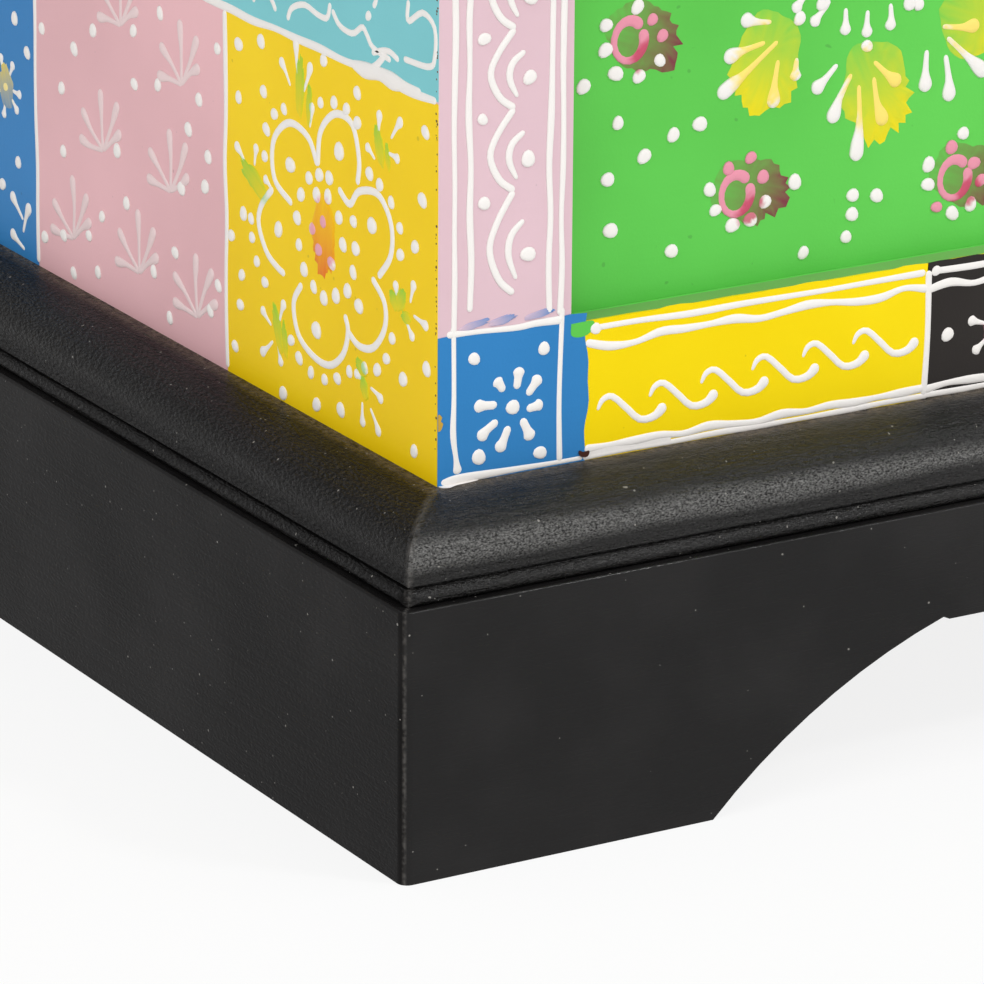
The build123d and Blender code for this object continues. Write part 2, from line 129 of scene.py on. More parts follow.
def black_paint(name, along, colour, gloss, bristle_depth, worn_and_highlit_width, grain=0.0):
    """Thick black brushed along one axis: bristle tracks, fine pits and a few pale specks. Where
    grain isn't nought, a gritty grey band along the moulding's nose is a painted highlight. Along
    the mitres, where x and y differ by MITRE, it is grey: worn paint and a painted highlight. On
    top, beside the body's foot, a brown tint is a painted reflection of the painted walls."""
    material, tree, shader, coords = new_finish(name, 0.3)
    shader.inputs["Specular IOR Level"].default_value = gloss
    tracks = drawn_out(tree, coords, along, BRISTLES_ALONG, BRISTLES_ACROSS, 4.0)
    pits = drawn_out(tree, coords, along, PITS_ALONG, PITS_ACROSS, 3.0)
    highlight_grit = drawn_out(tree, coords, along, HIGHLIGHT_GRIT_ALONG, HIGHLIGHT_GRIT_ACROSS, 4.0)
    cloud = speckle(tree, coords, (22.0,) * 3, 3.0)
    specks = speckle(tree, coords, (800.0,) * 3, 0.0)
    fine = speckle(tree, coords, (700.0,) * 3, 4.0)
    base = mixed(tree, remap(tree, cloud, 0.4, 0.75, 0.0, 1.0), solid(colour), solid(colour * 1.9))
    place = add_node(tree, "ShaderNodeSeparateXYZ", {"Vector": coords})
    height = place.outputs[2]
    # Painted highlight: a gritty grey band at the nose's height, as strong as grain says.
    from_nose = figure(tree, "ABSOLUTE", figure(tree, "SUBTRACT", height, NOSE))
    wandering = figure(tree, "ADD", from_nose, remap(tree, cloud, 0.3, 0.7, -0.0012, 0.0012))
    highlight_band = remap(tree, wandering, 0.0012, 0.0044, grain, grain * 0.1)
    painted_highlight = figure(tree, "MULTIPLY", highlight_band, remap(tree, highlight_grit, 0.36, 0.68, 0.0, 1.0))
    base = mixed(tree, painted_highlight, base, solid(NOSE_HIGHLIGHT_GREY))
    # Worn paint and a painted highlight: grey along the mitres, on the ridge of paint there.
    x, y = (figure(tree, "ABSOLUTE", place.outputs[i]) for i in (0, 1))
    difference = figure(tree, "SUBTRACT", x, y)
    off_mitre = figure(tree, "ABSOLUTE", figure(tree, "SUBTRACT", difference, MITRE))
    worn_and_highlit = figure(tree, "MULTIPLY", remap(tree, off_mitre, 0.0002, worn_and_highlit_width, 1.0, 0.0),
                    remap(tree, fine, 0.4, 0.62, 0.1, 0.6))
    base = mixed(tree, worn_and_highlit, base, solid(WORN_AND_HIGHLIT_GREY))
    # Painted reflection: brown on top beside the body's foot, where the painted walls would show in the
    # gloss.
    beyond = [figure(tree, "SUBTRACT", x, HALF_WIDTH), figure(tree, "SUBTRACT", y, HALF_DEPTH)]
    from_body = figure(tree, "MAXIMUM", *beyond)
    above = remap(tree, height, BODY_FOOT - 0.0005, BODY_FOOT - 0.0001, 0.0, 1.0)
    below = remap(tree, height, BODY_FOOT + 0.0002, BODY_FOOT + 0.0006, 1.0, 0.0)
    on_top = figure(tree, "MULTIPLY", above, below)
    wall_reflection = figure(tree, "MULTIPLY", remap(tree, from_body, 0.0, 0.009, 0.75, 0.0),
                   remap(tree, fine, 0.3, 0.65, 0.0, 1.0))
    base = mixed(tree, figure(tree, "MULTIPLY", wall_reflection, on_top), base, solid(WALL_REFLECTION_BROWN))
    speck = remap(tree, specks, 0.84, 0.87, 0.0, 0.6)
    tree.links.new(mixed(tree, speck, base, solid(PALE_SPECK)), shader.inputs["Base Color"])
    tree.links.new(remap(tree, tracks, 0.3, 0.7, 0.15, 0.34), shader.inputs["Roughness"])
    bumped(tree, shader, [(tracks, bristle_depth * 0.7), (pits, bristle_depth)])
    return material


def finish_nodes(material, *names):
    """Gives CAD nodes their finish."""
    for name in names:
        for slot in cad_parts[name].material_slots:
            slot.material = material


DULL_BLACK = shade(24, 23, 23)
# A painted highlight, for the moulding's nose.
NOSE_HIGHLIGHT_GREY = shade(126, 125, 123)
# Worn paint and a painted highlight, for the mitres.
WORN_AND_HIGHLIT_GREY = shade(92, 89, 86)
# A painted reflection of the painted walls, on top beside the body's foot.
WALL_REFLECTION_BROWN = shade(120, 108, 92)
PALE_SPECK = shade(170, 166, 160)
# The plinth's corners are grey too: worn paint and a painted highlight.
plinth_long = black_paint("plinth_black_lengthwise", 0, DULL_BLACK, 0.17, 0.00012, 0.0011)
plinth_short = black_paint("plinth_black_crosswise", 1, DULL_BLACK, 0.03, 0.00012, 0.0011)
finish_nodes(plinth_long, "plinth_front", "plinth_back")
finish_nodes(plinth_short, "plinth_left", "plinth_right")

# Base moulding
# A mitred frame with a rounded nose and a small bead, on which the body stands. It lies on the
# plinth boards and corner blocks, and its black is thicker and glossier, with deep bristle tracks.
DEEP_BLACK = shade(14, 13, 13)
# The front and back mouldings carry the painted highlight along their nose; the left and right ones barely.
black_long = black_paint("moulding_black_lengthwise", 0, DEEP_BLACK, 0.2, 0.0006, 0.0022, 0.85)
black_short = black_paint("moulding_black_crosswise", 1, DEEP_BLACK, 0.05, 0.0006, 0.0022, 0.08)
finish_nodes(black_long, "base_moulding_front", "base_moulding_back")
finish_nodes(black_short, "base_moulding_left", "base_moulding_right")


# Bottom, bearers, corner blocks and dowels
# Plain planed mango wood, out of sight when the chest is shut and never painted. Its grain runs
# along each piece.
def bare_wood(name, along):
    """Planed wood: long wavering growth lines along one axis, with short darker pores."""
    material, tree, shader, coords = new_finish(name, 0.62)
    wave = drawn_out(tree, coords, along, 2.2, 46.0, 5.0)
    pores = drawn_out(tree, coords, along, 40.0, 900.0, 1.0)
    grain = mixed(tree, remap(tree, wave, 0.32, 0.68, 0.0, 1.0), solid(EARLY_WOOD), solid(LATE_WOOD))
    pore = remap(tree, pores, 0.62, 0.7, 0.0, 0.6)
    tree.links.new(mixed(tree, pore, grain, solid(PORE_BROWN)), shader.inputs["Base Color"])
    bumped(tree, shader, [(pores, 0.00006)])
    return material


EARLY_WOOD, LATE_WOOD, PORE_BROWN = shade(214, 178, 132), shade(164, 118, 76), shade(110, 74, 46)
wood_long = bare_wood("mango_wood_lengthwise", 0)
wood_across = bare_wood("mango_wood_crosswise", 1)
wood_upright = bare_wood("mango_wood_upright", 2)
finish_nodes(wood_long, "bottom_board")
finish_nodes(wood_across, "bottom_bearer_left", "bottom_bearer_right", "corner_dowels")
corners = [f"{depth}_{side}" for depth in ("front", "back") for side in ("left", "right")]
finish_nodes(wood_upright, *[f"corner_block_{corner}" for corner in corners])

# Side boards
# Plain boards between the front and back frames. Each is painted in three rows of patches that
# lie like bricks, edged with white lines, and every patch is filled with raised cone-work: a
# thick white paint squeezed through a paper cone, touched here and there with thinned colour.
PINK = shade(225, 193, 202)
YELLOW = shade(255, 223, 4)
GREEN = shade(98, 203, 83)
BLUE = shade(53, 132, 196)
CYAN = shade(127, 203, 209)
BLACK = shade(45, 41, 39)
WHITE = shade(243, 239, 235)
LEAF = shade(120, 205, 70)
ORANGE = shade(232, 110, 44)
ROSE = shade(232, 150, 170)
PAINT_THICKNESS = 0.12
LINE_WIDTH = 2.1
DOT_WIDTH = 4.2
DROP_WIDTH = 4.2
RELIEF = 0.13
SIDE_PINK = shade(235, 186, 191)
SIDE_YELLOW = shade(254, 213, 8)
PATCH_NAMES = {
    "pink": PINK, "yellow": YELLOW, "green": GREEN, "blue": BLUE, "cyan": CYAN, "black": BLACK,
    "side_pink": SIDE_PINK, "side_yellow": SIDE_YELLOW,
}
PLANED_PALE, PLANED_DARK = shade(208, 170, 124), shade(168, 122, 80)
INK = np.random.default_rng(7)


def painted(name, colour, axis=None, skin_from=0.0, outward=1):
    """Brushed gloss paint. With an axis, only what lies beyond skin_from is painted, and the rest
    of the board, its inner side, is bare wood."""
    material, tree, shader, coords = new_finish(name, 0.34)
    shader.inputs["Specular IOR Level"].default_value = 0.08
    blotch = speckle(tree, coords, (9.0, 9.0, 9.0), 3.0)
    tracks = speckle(tree, coords, (60.0, 60.0, 620.0), 3.0)
    pits = speckle(tree, coords, (1300.0,) * 3, 1.0)
    light = solid(np.minimum(colour * 1.05 + 0.006, 1.0))
    dark = solid(colour * 0.93)
    look = mixed(tree, remap(tree, blotch, 0.35, 0.65, 0.0, 1.0), dark, light)
    grime = remap(tree, speckle(tree, coords, (420.0,) * 3, 0.0), 0.86, 0.9, 0.0, 0.35)
    look = mixed(tree, grime, look, solid(colour * 0.35 + 0.02))
    if axis is not None:
        place = add_node(tree, "ShaderNodeSeparateXYZ", {"Vector": coords})
        depth = figure(tree, "MULTIPLY", place.outputs[axis], float(outward))
        outside = remap(tree, depth, skin_from, skin_from + 0.0004, 0.0, 1.0)
        grain = drawn_out(tree, coords, 1 if axis == 0 else 0, 2.5, 40.0, 4.0)
        grain = remap(tree, grain, 0.35, 0.65, 0.0, 1.0)
        look = mixed(tree, outside, mixed(tree, grain, solid(PLANED_PALE), solid(PLANED_DARK)), look)
    tree.links.new(look, shader.inputs["Base Color"])
    bumped(tree, shader, [(tracks, 0.00005), (pits, 0.00003)])
    return material


def cone_paint(name):
    """The white of the cone-work, tinted where the piece's own colour attribute says so."""
    material, tree, shader, coords = new_finish(name, 0.42)
    shader.inputs["Specular IOR Level"].default_value = 0.08
    tint = add_node(tree, "ShaderNodeAttribute", attribute_name="paint")
    tree.links.new(tint.outputs["Color"], shader.inputs["Base Color"])
    bumped(tree, shader, [(speckle(tree, coords, (900.0,) * 3, 1.0), 0.00004)])
    return material


patch_paint = {name: painted(f"{name}_gloss", colour) for name, colour in PATCH_NAMES.items()}
cone_white = cone_paint("cone_white")
dab_paint = cone_paint("thinned_dabs")


def wall(origin, across, up, outward):
    """A painted face: its origin in metres and its three directions, in millimetres from there."""
    return [np.array(v, float) for v in (origin, across, up, outward)]


def walk(points, count):
    """A smooth curve through the points (a Catmull-Rom spline), closer together at its two ends."""
    p = np.array(points, float)
    held = np.vstack([2 * p[0] - p[1], p, 2 * p[-1] - p[-2]])
    t = (1 - np.cos(np.pi * np.arange(count) / (count - 1))) / 2 * (len(p) - 1)
    i = np.minimum(t.astype(int), len(p) - 2)
    f = (t - i)[:, None]
    a, b, c, d = held[i], held[i + 1], held[i + 2], held[i + 3]
    bend, twist = 2 * a - 5 * b + 4 * c - d, 3 * b - a - 3 * c + d
    return (2 * b + (c - a) * f + bend * f ** 2 + twist * f ** 3) / 2


def line(points, width=LINE_WIDTH, colour=WHITE):
    """A line squeezed from the cone: half an ellipse carried along a smooth path, its width
    closing to a round tip at both ends. Points are (u, v) or (u, v, width)."""
    p = np.array([tuple(q) + (width,) * (3 - len(q)) for q in points], float)
    reach = np.hypot(*np.diff(p[:, :2], axis=0).T).sum()
    path = walk(p, int(7 + reach / 1.5))
    uv = path[:, :2]
    step = np.gradient(uv, axis=0)
    step /= np.maximum(np.hypot(*step.T), 1e-9)[:, None]
    left = np.stack([-step[:, 1], step[:, 0]], 1)
    gone = np.concatenate([[0], np.cumsum(np.hypot(*np.diff(uv, axis=0).T))])
    radius = path[:, 2] / 2
    near = np.minimum(gone, gone[-1] - gone) / np.maximum(radius, 0.1)
    radius = radius * np.sqrt(np.clip(1 - (1 - np.minimum(near, 1)) ** 2, 0.01, 1))
    turn = np.linspace(0, np.pi, 6)
    flat = uv[:, None, :] + left[:, None, :] * (radius[:, None] * np.cos(turn))[..., None]
    height = 2 * RELIEF * radius[:, None] * np.sin(turn) + PAINT_THICKNESS * np.sin(turn) ** 0.5
    return np.dstack([flat, height]), colour, "line"


def drop(head, tail, width=DROP_WIDTH, colour=WHITE, tail_share=0.32):
    """A teardrop: the cone pressed at the head and drawn off to a thin tail. Its width falls
    from the head's to tail_share of it along the way."""
    head, tail = np.array(head, float), np.array(tail, float)
    reach = max(np.hypot(*(head - tail)), 0.1)
    way = (head - tail) / reach
    blob = min(width, reach * 0.9)
    sway = INK.uniform(-0.06, 0.06) * reach * np.array([-way[1], way[0]])
    spots = ((0, tail_share, 0), (0.5, (tail_share + 0.6) / 2, 1), (0.78, 0.9, 0.5), (1, 0.96, 0))
    stop = tail + way * (reach + blob * 0.25)
    path = [(*(tail + (stop - tail) * share + sway * bend), width * wide) for share, wide, bend in spots]
    return line(path, colour=colour)


def dot(u, v, width=DOT_WIDTH, colour=WHITE):
    """A dome: an uneven round outline drawn in and up over four rings."""
    angle = np.linspace(0, 2 * np.pi, 12, endpoint=False)
    lean, oval = INK.uniform(0, np.pi), INK.uniform(0.02, 0.13)
    radius = width / 2 * (1 + oval * np.cos(2 * (angle - lean)) + 0.04 * np.cos(3 * angle + lean))
    radius = radius * INK.uniform(0.88, 1.1)
    share = np.array([1.0, 0.93, 0.68, 0.3])
    height = np.array([0.0, 0.5, 0.88, 1.0]) * width * RELIEF * 0.9 + PAINT_THICKNESS * (share < 1)
    rings = share[:, None] * radius
    flat = np.stack([u + rings * np.cos(angle), v + rings * np.sin(angle)], -1)
    return np.dstack([flat, np.broadcast_to(height[:, None], rings.shape)]), colour, "dome"


def film(outline, colour=WHITE, lift=PAINT_THICKNESS):
    """A flat patch of paint: its outline raised by the paint's thickness."""
    edge = np.array(outline, float)
    low = np.column_stack([edge, np.full(len(edge), 0.01)])
    high = np.column_stack([edge, np.full(len(edge), lift)])
    return np.stack([low, high]), colour, "film"


def patch(u0, v0, u1, v1, wobble=0.5, limits=(None, None, None, None), spacing=4.0):
    """A hand-painted rectangle, walked once round, its edges pushed in and out by slow waves.
    An edge that lies on its limit, such as a board's end, stays there."""
    nu, nv = (max(3, int((b - a) / spacing)) for a, b in ((u0, u1), (v0, v1)))
    su, sv = np.linspace(0, 1, nu, endpoint=False), np.linspace(0, 1, nv, endpoint=False)
    wide, high = su * (u1 - u0), sv * (v1 - v0)
    ruled_u = np.concatenate([u0 + wide, np.full(nv, u1), u1 - wide, np.full(nv, u0)])
    ruled_v = np.concatenate([np.full(nu, v0), v0 + high, np.full(nu, v1), v1 - high])
    a, b = INK.uniform(0, 6, 2)
    u = ruled_u + wobble * (np.sin(ruled_v / 5.3 + a) + 0.5 * np.sin(ruled_v / 2.1 + b)) / 1.5
    v = ruled_v + wobble * (np.sin(ruled_u / 6.1 + b) + 0.5 * np.sin(ruled_u / 2.4 + a)) / 1.5
    sides = zip(limits, (u0, v0, u1, v1), (ruled_u, ruled_v) * 2, (u, v) * 2)
    for limit, edge, ruled, moved in sides:
        if limit is not None and edge == limit:
            moved[ruled == edge] = edge
    low = [-np.inf if limit is None else limit for limit in limits[:2]]
    high = [np.inf if limit is None else limit for limit in limits[2:]]
    return np.clip(np.stack([u, v], 1), low, high)


def dab(u, v, reach, breadth, heading, colour, ground, strength=0.75, lift=0.2):
    """Thinned colour, brushed along a heading: ovals drawn in towards the middle, ragged where
    the brush left. Each point mixes the ground with the colour, more of it where it pooled."""
    turn = np.linspace(0, 2 * np.pi, 48, endpoint=False)
    ahead = np.clip(np.cos(turn) + 0.25, 0, 1)
    a, b = INK.uniform(0, 6, 2)
    rough = 1 + 0.07 * np.sin(2 * turn + a) + 0.06 * np.sin(5 * turn + b)
    rough = rough + (0.02 + 0.13 * ahead) * INK.uniform(-1, 1, len(turn))
    share = np.linspace(1, 0.1, 6)[:, None]
    along, beside = reach * share * rough * np.cos(turn), breadth * share * rough * np.sin(turn)
    way = np.radians(heading)
    flat_u = u + along * np.cos(way) - beside * np.sin(way)
    flat_v = v + along * np.sin(way) + beside * np.cos(way)
    streak = 0.5 + 0.5 * np.sin(beside * 2.1 + a) * np.sin(beside * 0.9 + b)
    mix = 0.5 + 0.3 * along / reach + 0.28 * streak * share - 0.12 * share * (1 - ahead)
    tone = ground + (colour - ground) * (np.clip(mix, 0.12, 1) * strength)[..., None]
    height = np.full(flat_u.shape, lift)
    height[0] = 0.02
    return np.dstack([flat_u, flat_v, height]), tone, "film"


def lay(name, face, pieces, material, body="chest", stains=()):
    """One mesh from many (rings, colour, form) pieces on a face. Quads join neighbours on
    neighbouring rings and flat caps close both ends. A stain (u, v, reach, breadth, heading,
    colour, share) tints the cone-work that it covers."""
    origin, across, up, outward = face
    mirrored = np.cross(across, up) @ outward < 0
    points, tones, quads, caps, round_quads, round_caps = [], [], [], [], [], []
    start = 0
    for rings, colour, form in pieces:
        n, m = rings.shape[:2]
        at = start + np.arange(n * m).reshape(n, m)
        after = np.roll(at, -1, 1)
        quads.append(np.stack([at[:-1], after[:-1], after[1:], at[1:]], -1).reshape(-1, 4))
        round_quads.append(np.tile((np.arange(m) < m - (form == "line")) & (form != "film"), n - 1))
        caps += [at[0][::-1], at[-1]]
        round_caps += [False, form == "dome"]
        points.append(rings.reshape(-1, 3))
        tones.append(np.broadcast_to(colour, (n, m, 3)).reshape(-1, 3))
        start += n * m
    points, tones, quads = np.concatenate(points), np.concatenate(tones), np.concatenate(quads)
    for u, v, reach, breadth, heading, colour, share in stains:
        way = np.radians(heading)
        away_u, away_v = points[:, 0] - u, points[:, 1] - v
        along = (away_u * np.cos(way) + away_v * np.sin(way)) / reach
        beside = (away_v * np.cos(way) - away_u * np.sin(way)) / breadth
        ragged = 0.12 * np.sin(points[:, 0] * 1.9) * np.sin(points[:, 1] * 2.3)
        wet = np.clip((1.02 + ragged - np.hypot(along, beside)) / 0.25, 0, 1) * share
        tones = tones + (colour - tones) * wet[:, None]
    step = -1 if mirrored else 1
    polygons = quads[:, ::step].tolist() + [cap[::step].tolist() for cap in caps]
    spot = origin + (points[:, :1] * across + points[:, 1:2] * up + points[:, 2:] * outward) * MM
    mesh = bpy.data.meshes.new(name)
    mesh.from_pydata(spot.tolist(), [], polygons)
    mesh.polygons.foreach_set("use_smooth", np.concatenate([*round_quads, round_caps]))
    paint = mesh.color_attributes.new(name="paint", type="FLOAT_COLOR", domain="POINT")
    paint.data.foreach_set("color", np.column_stack([tones, np.ones(len(tones))]).ravel())
    low, size = points[:, :2].min(0), np.ptp(points[:, :2], axis=0)
    corners = np.zeros(len(mesh.loops), np.int64)
    mesh.loops.foreach_get("vertex_index", corners)
    flat_map = mesh.uv_layers.new(name="OFBake")
    flat_map.data.foreach_set("uv", ((points[:, :2] - low) / size)[corners].ravel())
    mesh.materials.append(material)
    piece = bpy.data.objects.new(name, mesh)
    bpy.context.scene.collection.objects.link(piece)
    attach(piece, body)


SLOTS = {name: f"{name.split('_')[-1]}_gloss_paint" for name in PATCH_NAMES}
BODY_WIDTH, BODY_DEPTH, BODY_HEIGHT = 752, 352, 275
FIRST_SEAM, SECOND_SEAM, MIDDLE_SEAM = 117.3, 235, 176
ROW_TOPS = (105, 190)
SPRIG_STEP, PETAL_STEP = 31, 38
FLOWER_PATCH, FLOWER_REACH = 103, 54
WASH_LIFT, WASH_STEP = 0.2, 0.006
SPECK_BROWN = shade(104, 76, 52)
THIN_WHITE = shade(235, 212, 212)


def way_of(degrees):
    """The direction at an angle from the u axis."""
    return np.array([np.cos(np.radians(degrees)), np.sin(np.radians(degrees))])


class Coat:
    """What is laid on one face, in order: patches, thinned washes and cone-work. A wash goes on
    last with the brush, so it leaves a stain on the cone-work that it covers."""

    def __init__(self, name, face, body="chest"):
        self.name, self.face, self.body = name, face, body
        self.patches, self.washes, self.work, self.stains = [], [], [], []

    def wash(self, u, v, reach, breadth, heading, colour, ground, strength=0.75, stain=0.6):
        lift = WASH_LIFT + WASH_STEP * len(self.washes)
        self.washes.append(dab(u, v, reach, breadth, heading, colour, ground, strength, lift))
        self.stains.append((u, v, reach, breadth, heading, colour, stain))

    def dots(self, spots, width=DOT_WIDTH, colour=WHITE):
        self.work += [dot(u, v, width, colour) for u, v in spots]

    def lay(self, parts=("",)):
        """The coat's pieces: one for each patch colour, one of washes, and the cone-work, which
        is shared out in the order it was squeezed where more than one part is named."""
        for tone in sorted({tone for tone, _ in self.patches}):
            films = [outline for kind, outline in self.patches if kind == tone]
            name = f"{self.name}_{tone}_patches"
            lay(name, self.face, films, patch_paint[tone], self.body)
        if self.washes:
            lay(f"{self.name}_washes", self.face, self.washes, dab_paint, self.body)
        step = -(-len(self.work) // len(parts))
        for i, part in enumerate(parts):
            name = f"{self.name}{part}_cone_work"
            share = self.work[i * step:(i + 1) * step]
            lay(name, self.face, share, cone_white, self.body, self.stains)


def sprig(u, v, size=1.0, colour=WHITE):
    """Five drops drawn down to one stalk, leaning to the right."""
    tips = ((0.5, 17.7), (13, 9), (14, 0), (-9, 15), (-11, 7))
    wave = INK.uniform(-0.8, 0.8, (len(tips), 2))
    width = 3.8 * size ** 0.5
    return [drop((u + size * a + i, v + size * b + j), (u + i * 0.3, v), width, colour, 0.42)
            for (a, b), (i, j) in zip(tips, wave)]


def spray(coat, u, v, heading, ground, size=1.0):
    """Four drops fanned about a point, and the thinned green brushed over them."""
    spot = np.array([u, v])
    for turn, near, far in ((-42, 4, 13), (-2, 6, 17), (38, 4, 13), (-150, 1, 7)):
        way = way_of(heading + turn + INK.uniform(-6, 6)) * size
        coat.work.append(drop(spot + way * far, spot + way * near, 3.8))
    coat.wash(*(spot + 5 * way_of(heading)), 9.5 * size, 2.8, heading, LEAF, ground, 0.85, 0.6)


def lobed_flower(coat, u, v, ground, size=1.0):
    """Six open lobes round a ring of dots. Each lobe is an arc of line that spreads towards the
    ring, with a dot in it and dots following it outside; a spray stands between two lobes."""
    headings = [39 + 60 * i + INK.uniform(-6, 6) for i in range(6)]
    coat.wash(u, v - 1, 11 * size, 7.5 * size, -85, ORANGE, ground, 0.95, 0.6)
    for heading, following in zip(headings, headings[1:] + headings[:1]):
        a = np.radians(heading)
        cu, cv = (u, v) + size * 26.5 * way_of(heading)
        arc = a + np.radians(np.linspace(-132, 132, 8))
        radius = size * (11.4 + 3.6 * np.abs(np.linspace(-1, 1, 8)) ** 3 + INK.uniform(-0.4, 0.4, 8))
        coat.work.append(line(np.stack([cu + radius * np.cos(arc), cv + radius * np.sin(arc)], 1), 2.3))
        coat.dots([(cu + 0.6, cv)], 4.6)
        for turn in np.radians((-68, -42, -15, 14, 41, 68)):
            off = size * (16.6 + INK.uniform(-0.6, 0.6))
            coat.dots([(cu + off * np.cos(a + turn), cv + off * np.sin(a + turn))], 3.7)
        middle = heading + (following - heading) % 360 / 2
        spray(coat, *((u, v) + size * 38 * way_of(middle)), middle, ground, size)
    ring = 2 * np.pi * np.arange(15) / 15
    coat.dots(zip(u + size * 15.8 * np.cos(ring), v + size * 16.8 * np.sin(ring)), 3.9)
    inner = np.radians((60, 95, 140, 178, 230))
    coat.dots(zip(u + size * 10 * np.cos(inner), v + size * 10 * np.sin(inner)), 3.6)


def petal_flower(u, v, size=1.0, petals=7, colour=WHITE):
    """Short fat drops about a dot, their heads outside."""
    work, start = [dot(u, v, 3.4 * size, colour)], INK.uniform(0, 360)
    for i in range(petals):
        way = way_of(start + 360 * i / petals + INK.uniform(-8, 8)) * size
        work.append(drop((u, v) + way * 9.2, (u, v) + way * 4.2, 3.7 * size, colour))
    return work


def sown(u0, v0, u1, v1, gap, keep_off=(), width=DOT_WIDTH):
    """Dots sown one to a cell of a grid, each moved inside its cell, and none on an ornament:
    keep_off lists (u, v, radius)."""
    nu, nv = max(1, round((u1 - u0) / gap)), max(1, round((v1 - v0) / gap))
    work = []
    for i in range(nu * nv):
        u = u0 + (i % nu + INK.uniform(0.2, 0.8)) * (u1 - u0) / nu
        v = v0 + (i // nu + INK.uniform(0.2, 0.8)) * (v1 - v0) / nv
        if all(np.hypot(u - a, v - b) > r for a, b, r in keep_off):
            work.append(dot(u, v, width * INK.uniform(0.8, 1.1)))
    return work


def worms(u0, v0, u1, v1, gap=19.0):
    """Wandering lines that never cross, one to a cell: six steps whose heading swings to and fro."""
    work = []
    nu, nv = max(1, round((u1 - u0) / gap)), max(1, round((v1 - v0) / (gap * 0.8)))
    for i in range(nu * nv):
        cu, cv = u0 + (i % nu + 0.5) * (u1 - u0) / nu, v0 + (i // nu + 0.5) * (v1 - v0) / nv
        swing = INK.uniform(0, np.pi) + np.radians(62) * np.sin(np.arange(7) * 1.15 + INK.uniform(0, 6))
        path = np.cumsum(np.stack([np.cos(swing), np.sin(swing)], 1) * 3.3, 0)
        path += (cu, cv) - (path.max(0) + path.min(0)) / 2
        work.append(line(np.clip(path, (u0 + 2, v0 + 2), (u1 - 2, v1 - 2)), 2.0))
        if i % 3 == 0:
            work.append(dot(cu + gap * 0.42, cv + gap * 0.3, 3.0))
    return work


def edging(u0, v0, u1, v1, width=LINE_WIDTH, push=0.5):
    """A hand-drawn line from point to point, pushed a little off its straight course."""
    reach = np.hypot(u1 - u0, v1 - v0)
    n = max(3, int(reach / 12))
    t = np.linspace(0, 1, n)
    side = np.array([v0 - v1, u1 - u0]) / reach
    off = INK.uniform(-push, push, n)[:, None] * side
    path = np.stack([u0 + t * (u1 - u0), v0 + t * (v1 - v0)], 1) + off
    return line(np.column_stack([path, width * INK.uniform(0.85, 1.2, n)]))


def patchwork(coat, width, height, rows):
    """Rows of patches as (top, [(end, colour, ornament), ...]), with the lines between them and
    the ornament in each."""
    foot = 0.0
    for top, cells in rows:
        start = 0.0
        for end, tone, kind in cells:
            coat.patches.append((tone, film(patch(start, foot, end, top, limits=(0, 0, width, height)))))
            ground = PATCH_NAMES[tone]
            middle = ((start + end) / 2, (foot + top) / 2)
            wide, high = end - start, top - foot
            room = (start + 3, foot + 3, end - 3, top - 3)
            size = min(wide, high) / FLOWER_PATCH
            if kind == "flower":
                lobed_flower(coat, *middle, ground, size)
                coat.work += sown(*room, 14, [(*middle, FLOWER_REACH * size)])
            elif kind == "sprigs":
                spots = [(start + 13 + (i + 0.5 * (j % 2)) * (wide - 22) / 3, foot + 4 + j * SPRIG_STEP)
                         for j in range(int((high - 18) // SPRIG_STEP) + 1) for i in range(3 - j % 2)]
                for spot in spots:
                    coat.work += sprig(*spot, 0.95)
                coat.work += sown(*room, 13, [(u + 1, v + 8, 14) for u, v in spots])
            elif kind == "worms":
                coat.work += worms(start + 2, foot + 3, end - 2, top - 3)
            elif kind == "petals":
                nu, nv = (max(2, round(length / PETAL_STEP)) for length in (wide, high))
                spots = [(start + (i + 0.5) * wide / nu, foot + (j + 0.5) * high / nv)
                         for j in range(nv) for i in range(nu)]
                heart = ORANGE if "yellow" in tone else YELLOW
                for u, v in spots:
                    coat.work += petal_flower(u, v)
                    coat.wash(u, v, 6.5, 5, INK.uniform(0, 360), heart, ground)
                coat.work += sown(*room, 13, [(u, v, 14) for u, v in spots])
            if end < width:
                coat.work.append(edging(end, foot + 1, end, top - 1, 2.2))
            start = end
        if top < height:
            coat.work.append(edging(1, top, width - 1, top, 2.4))
        foot = top


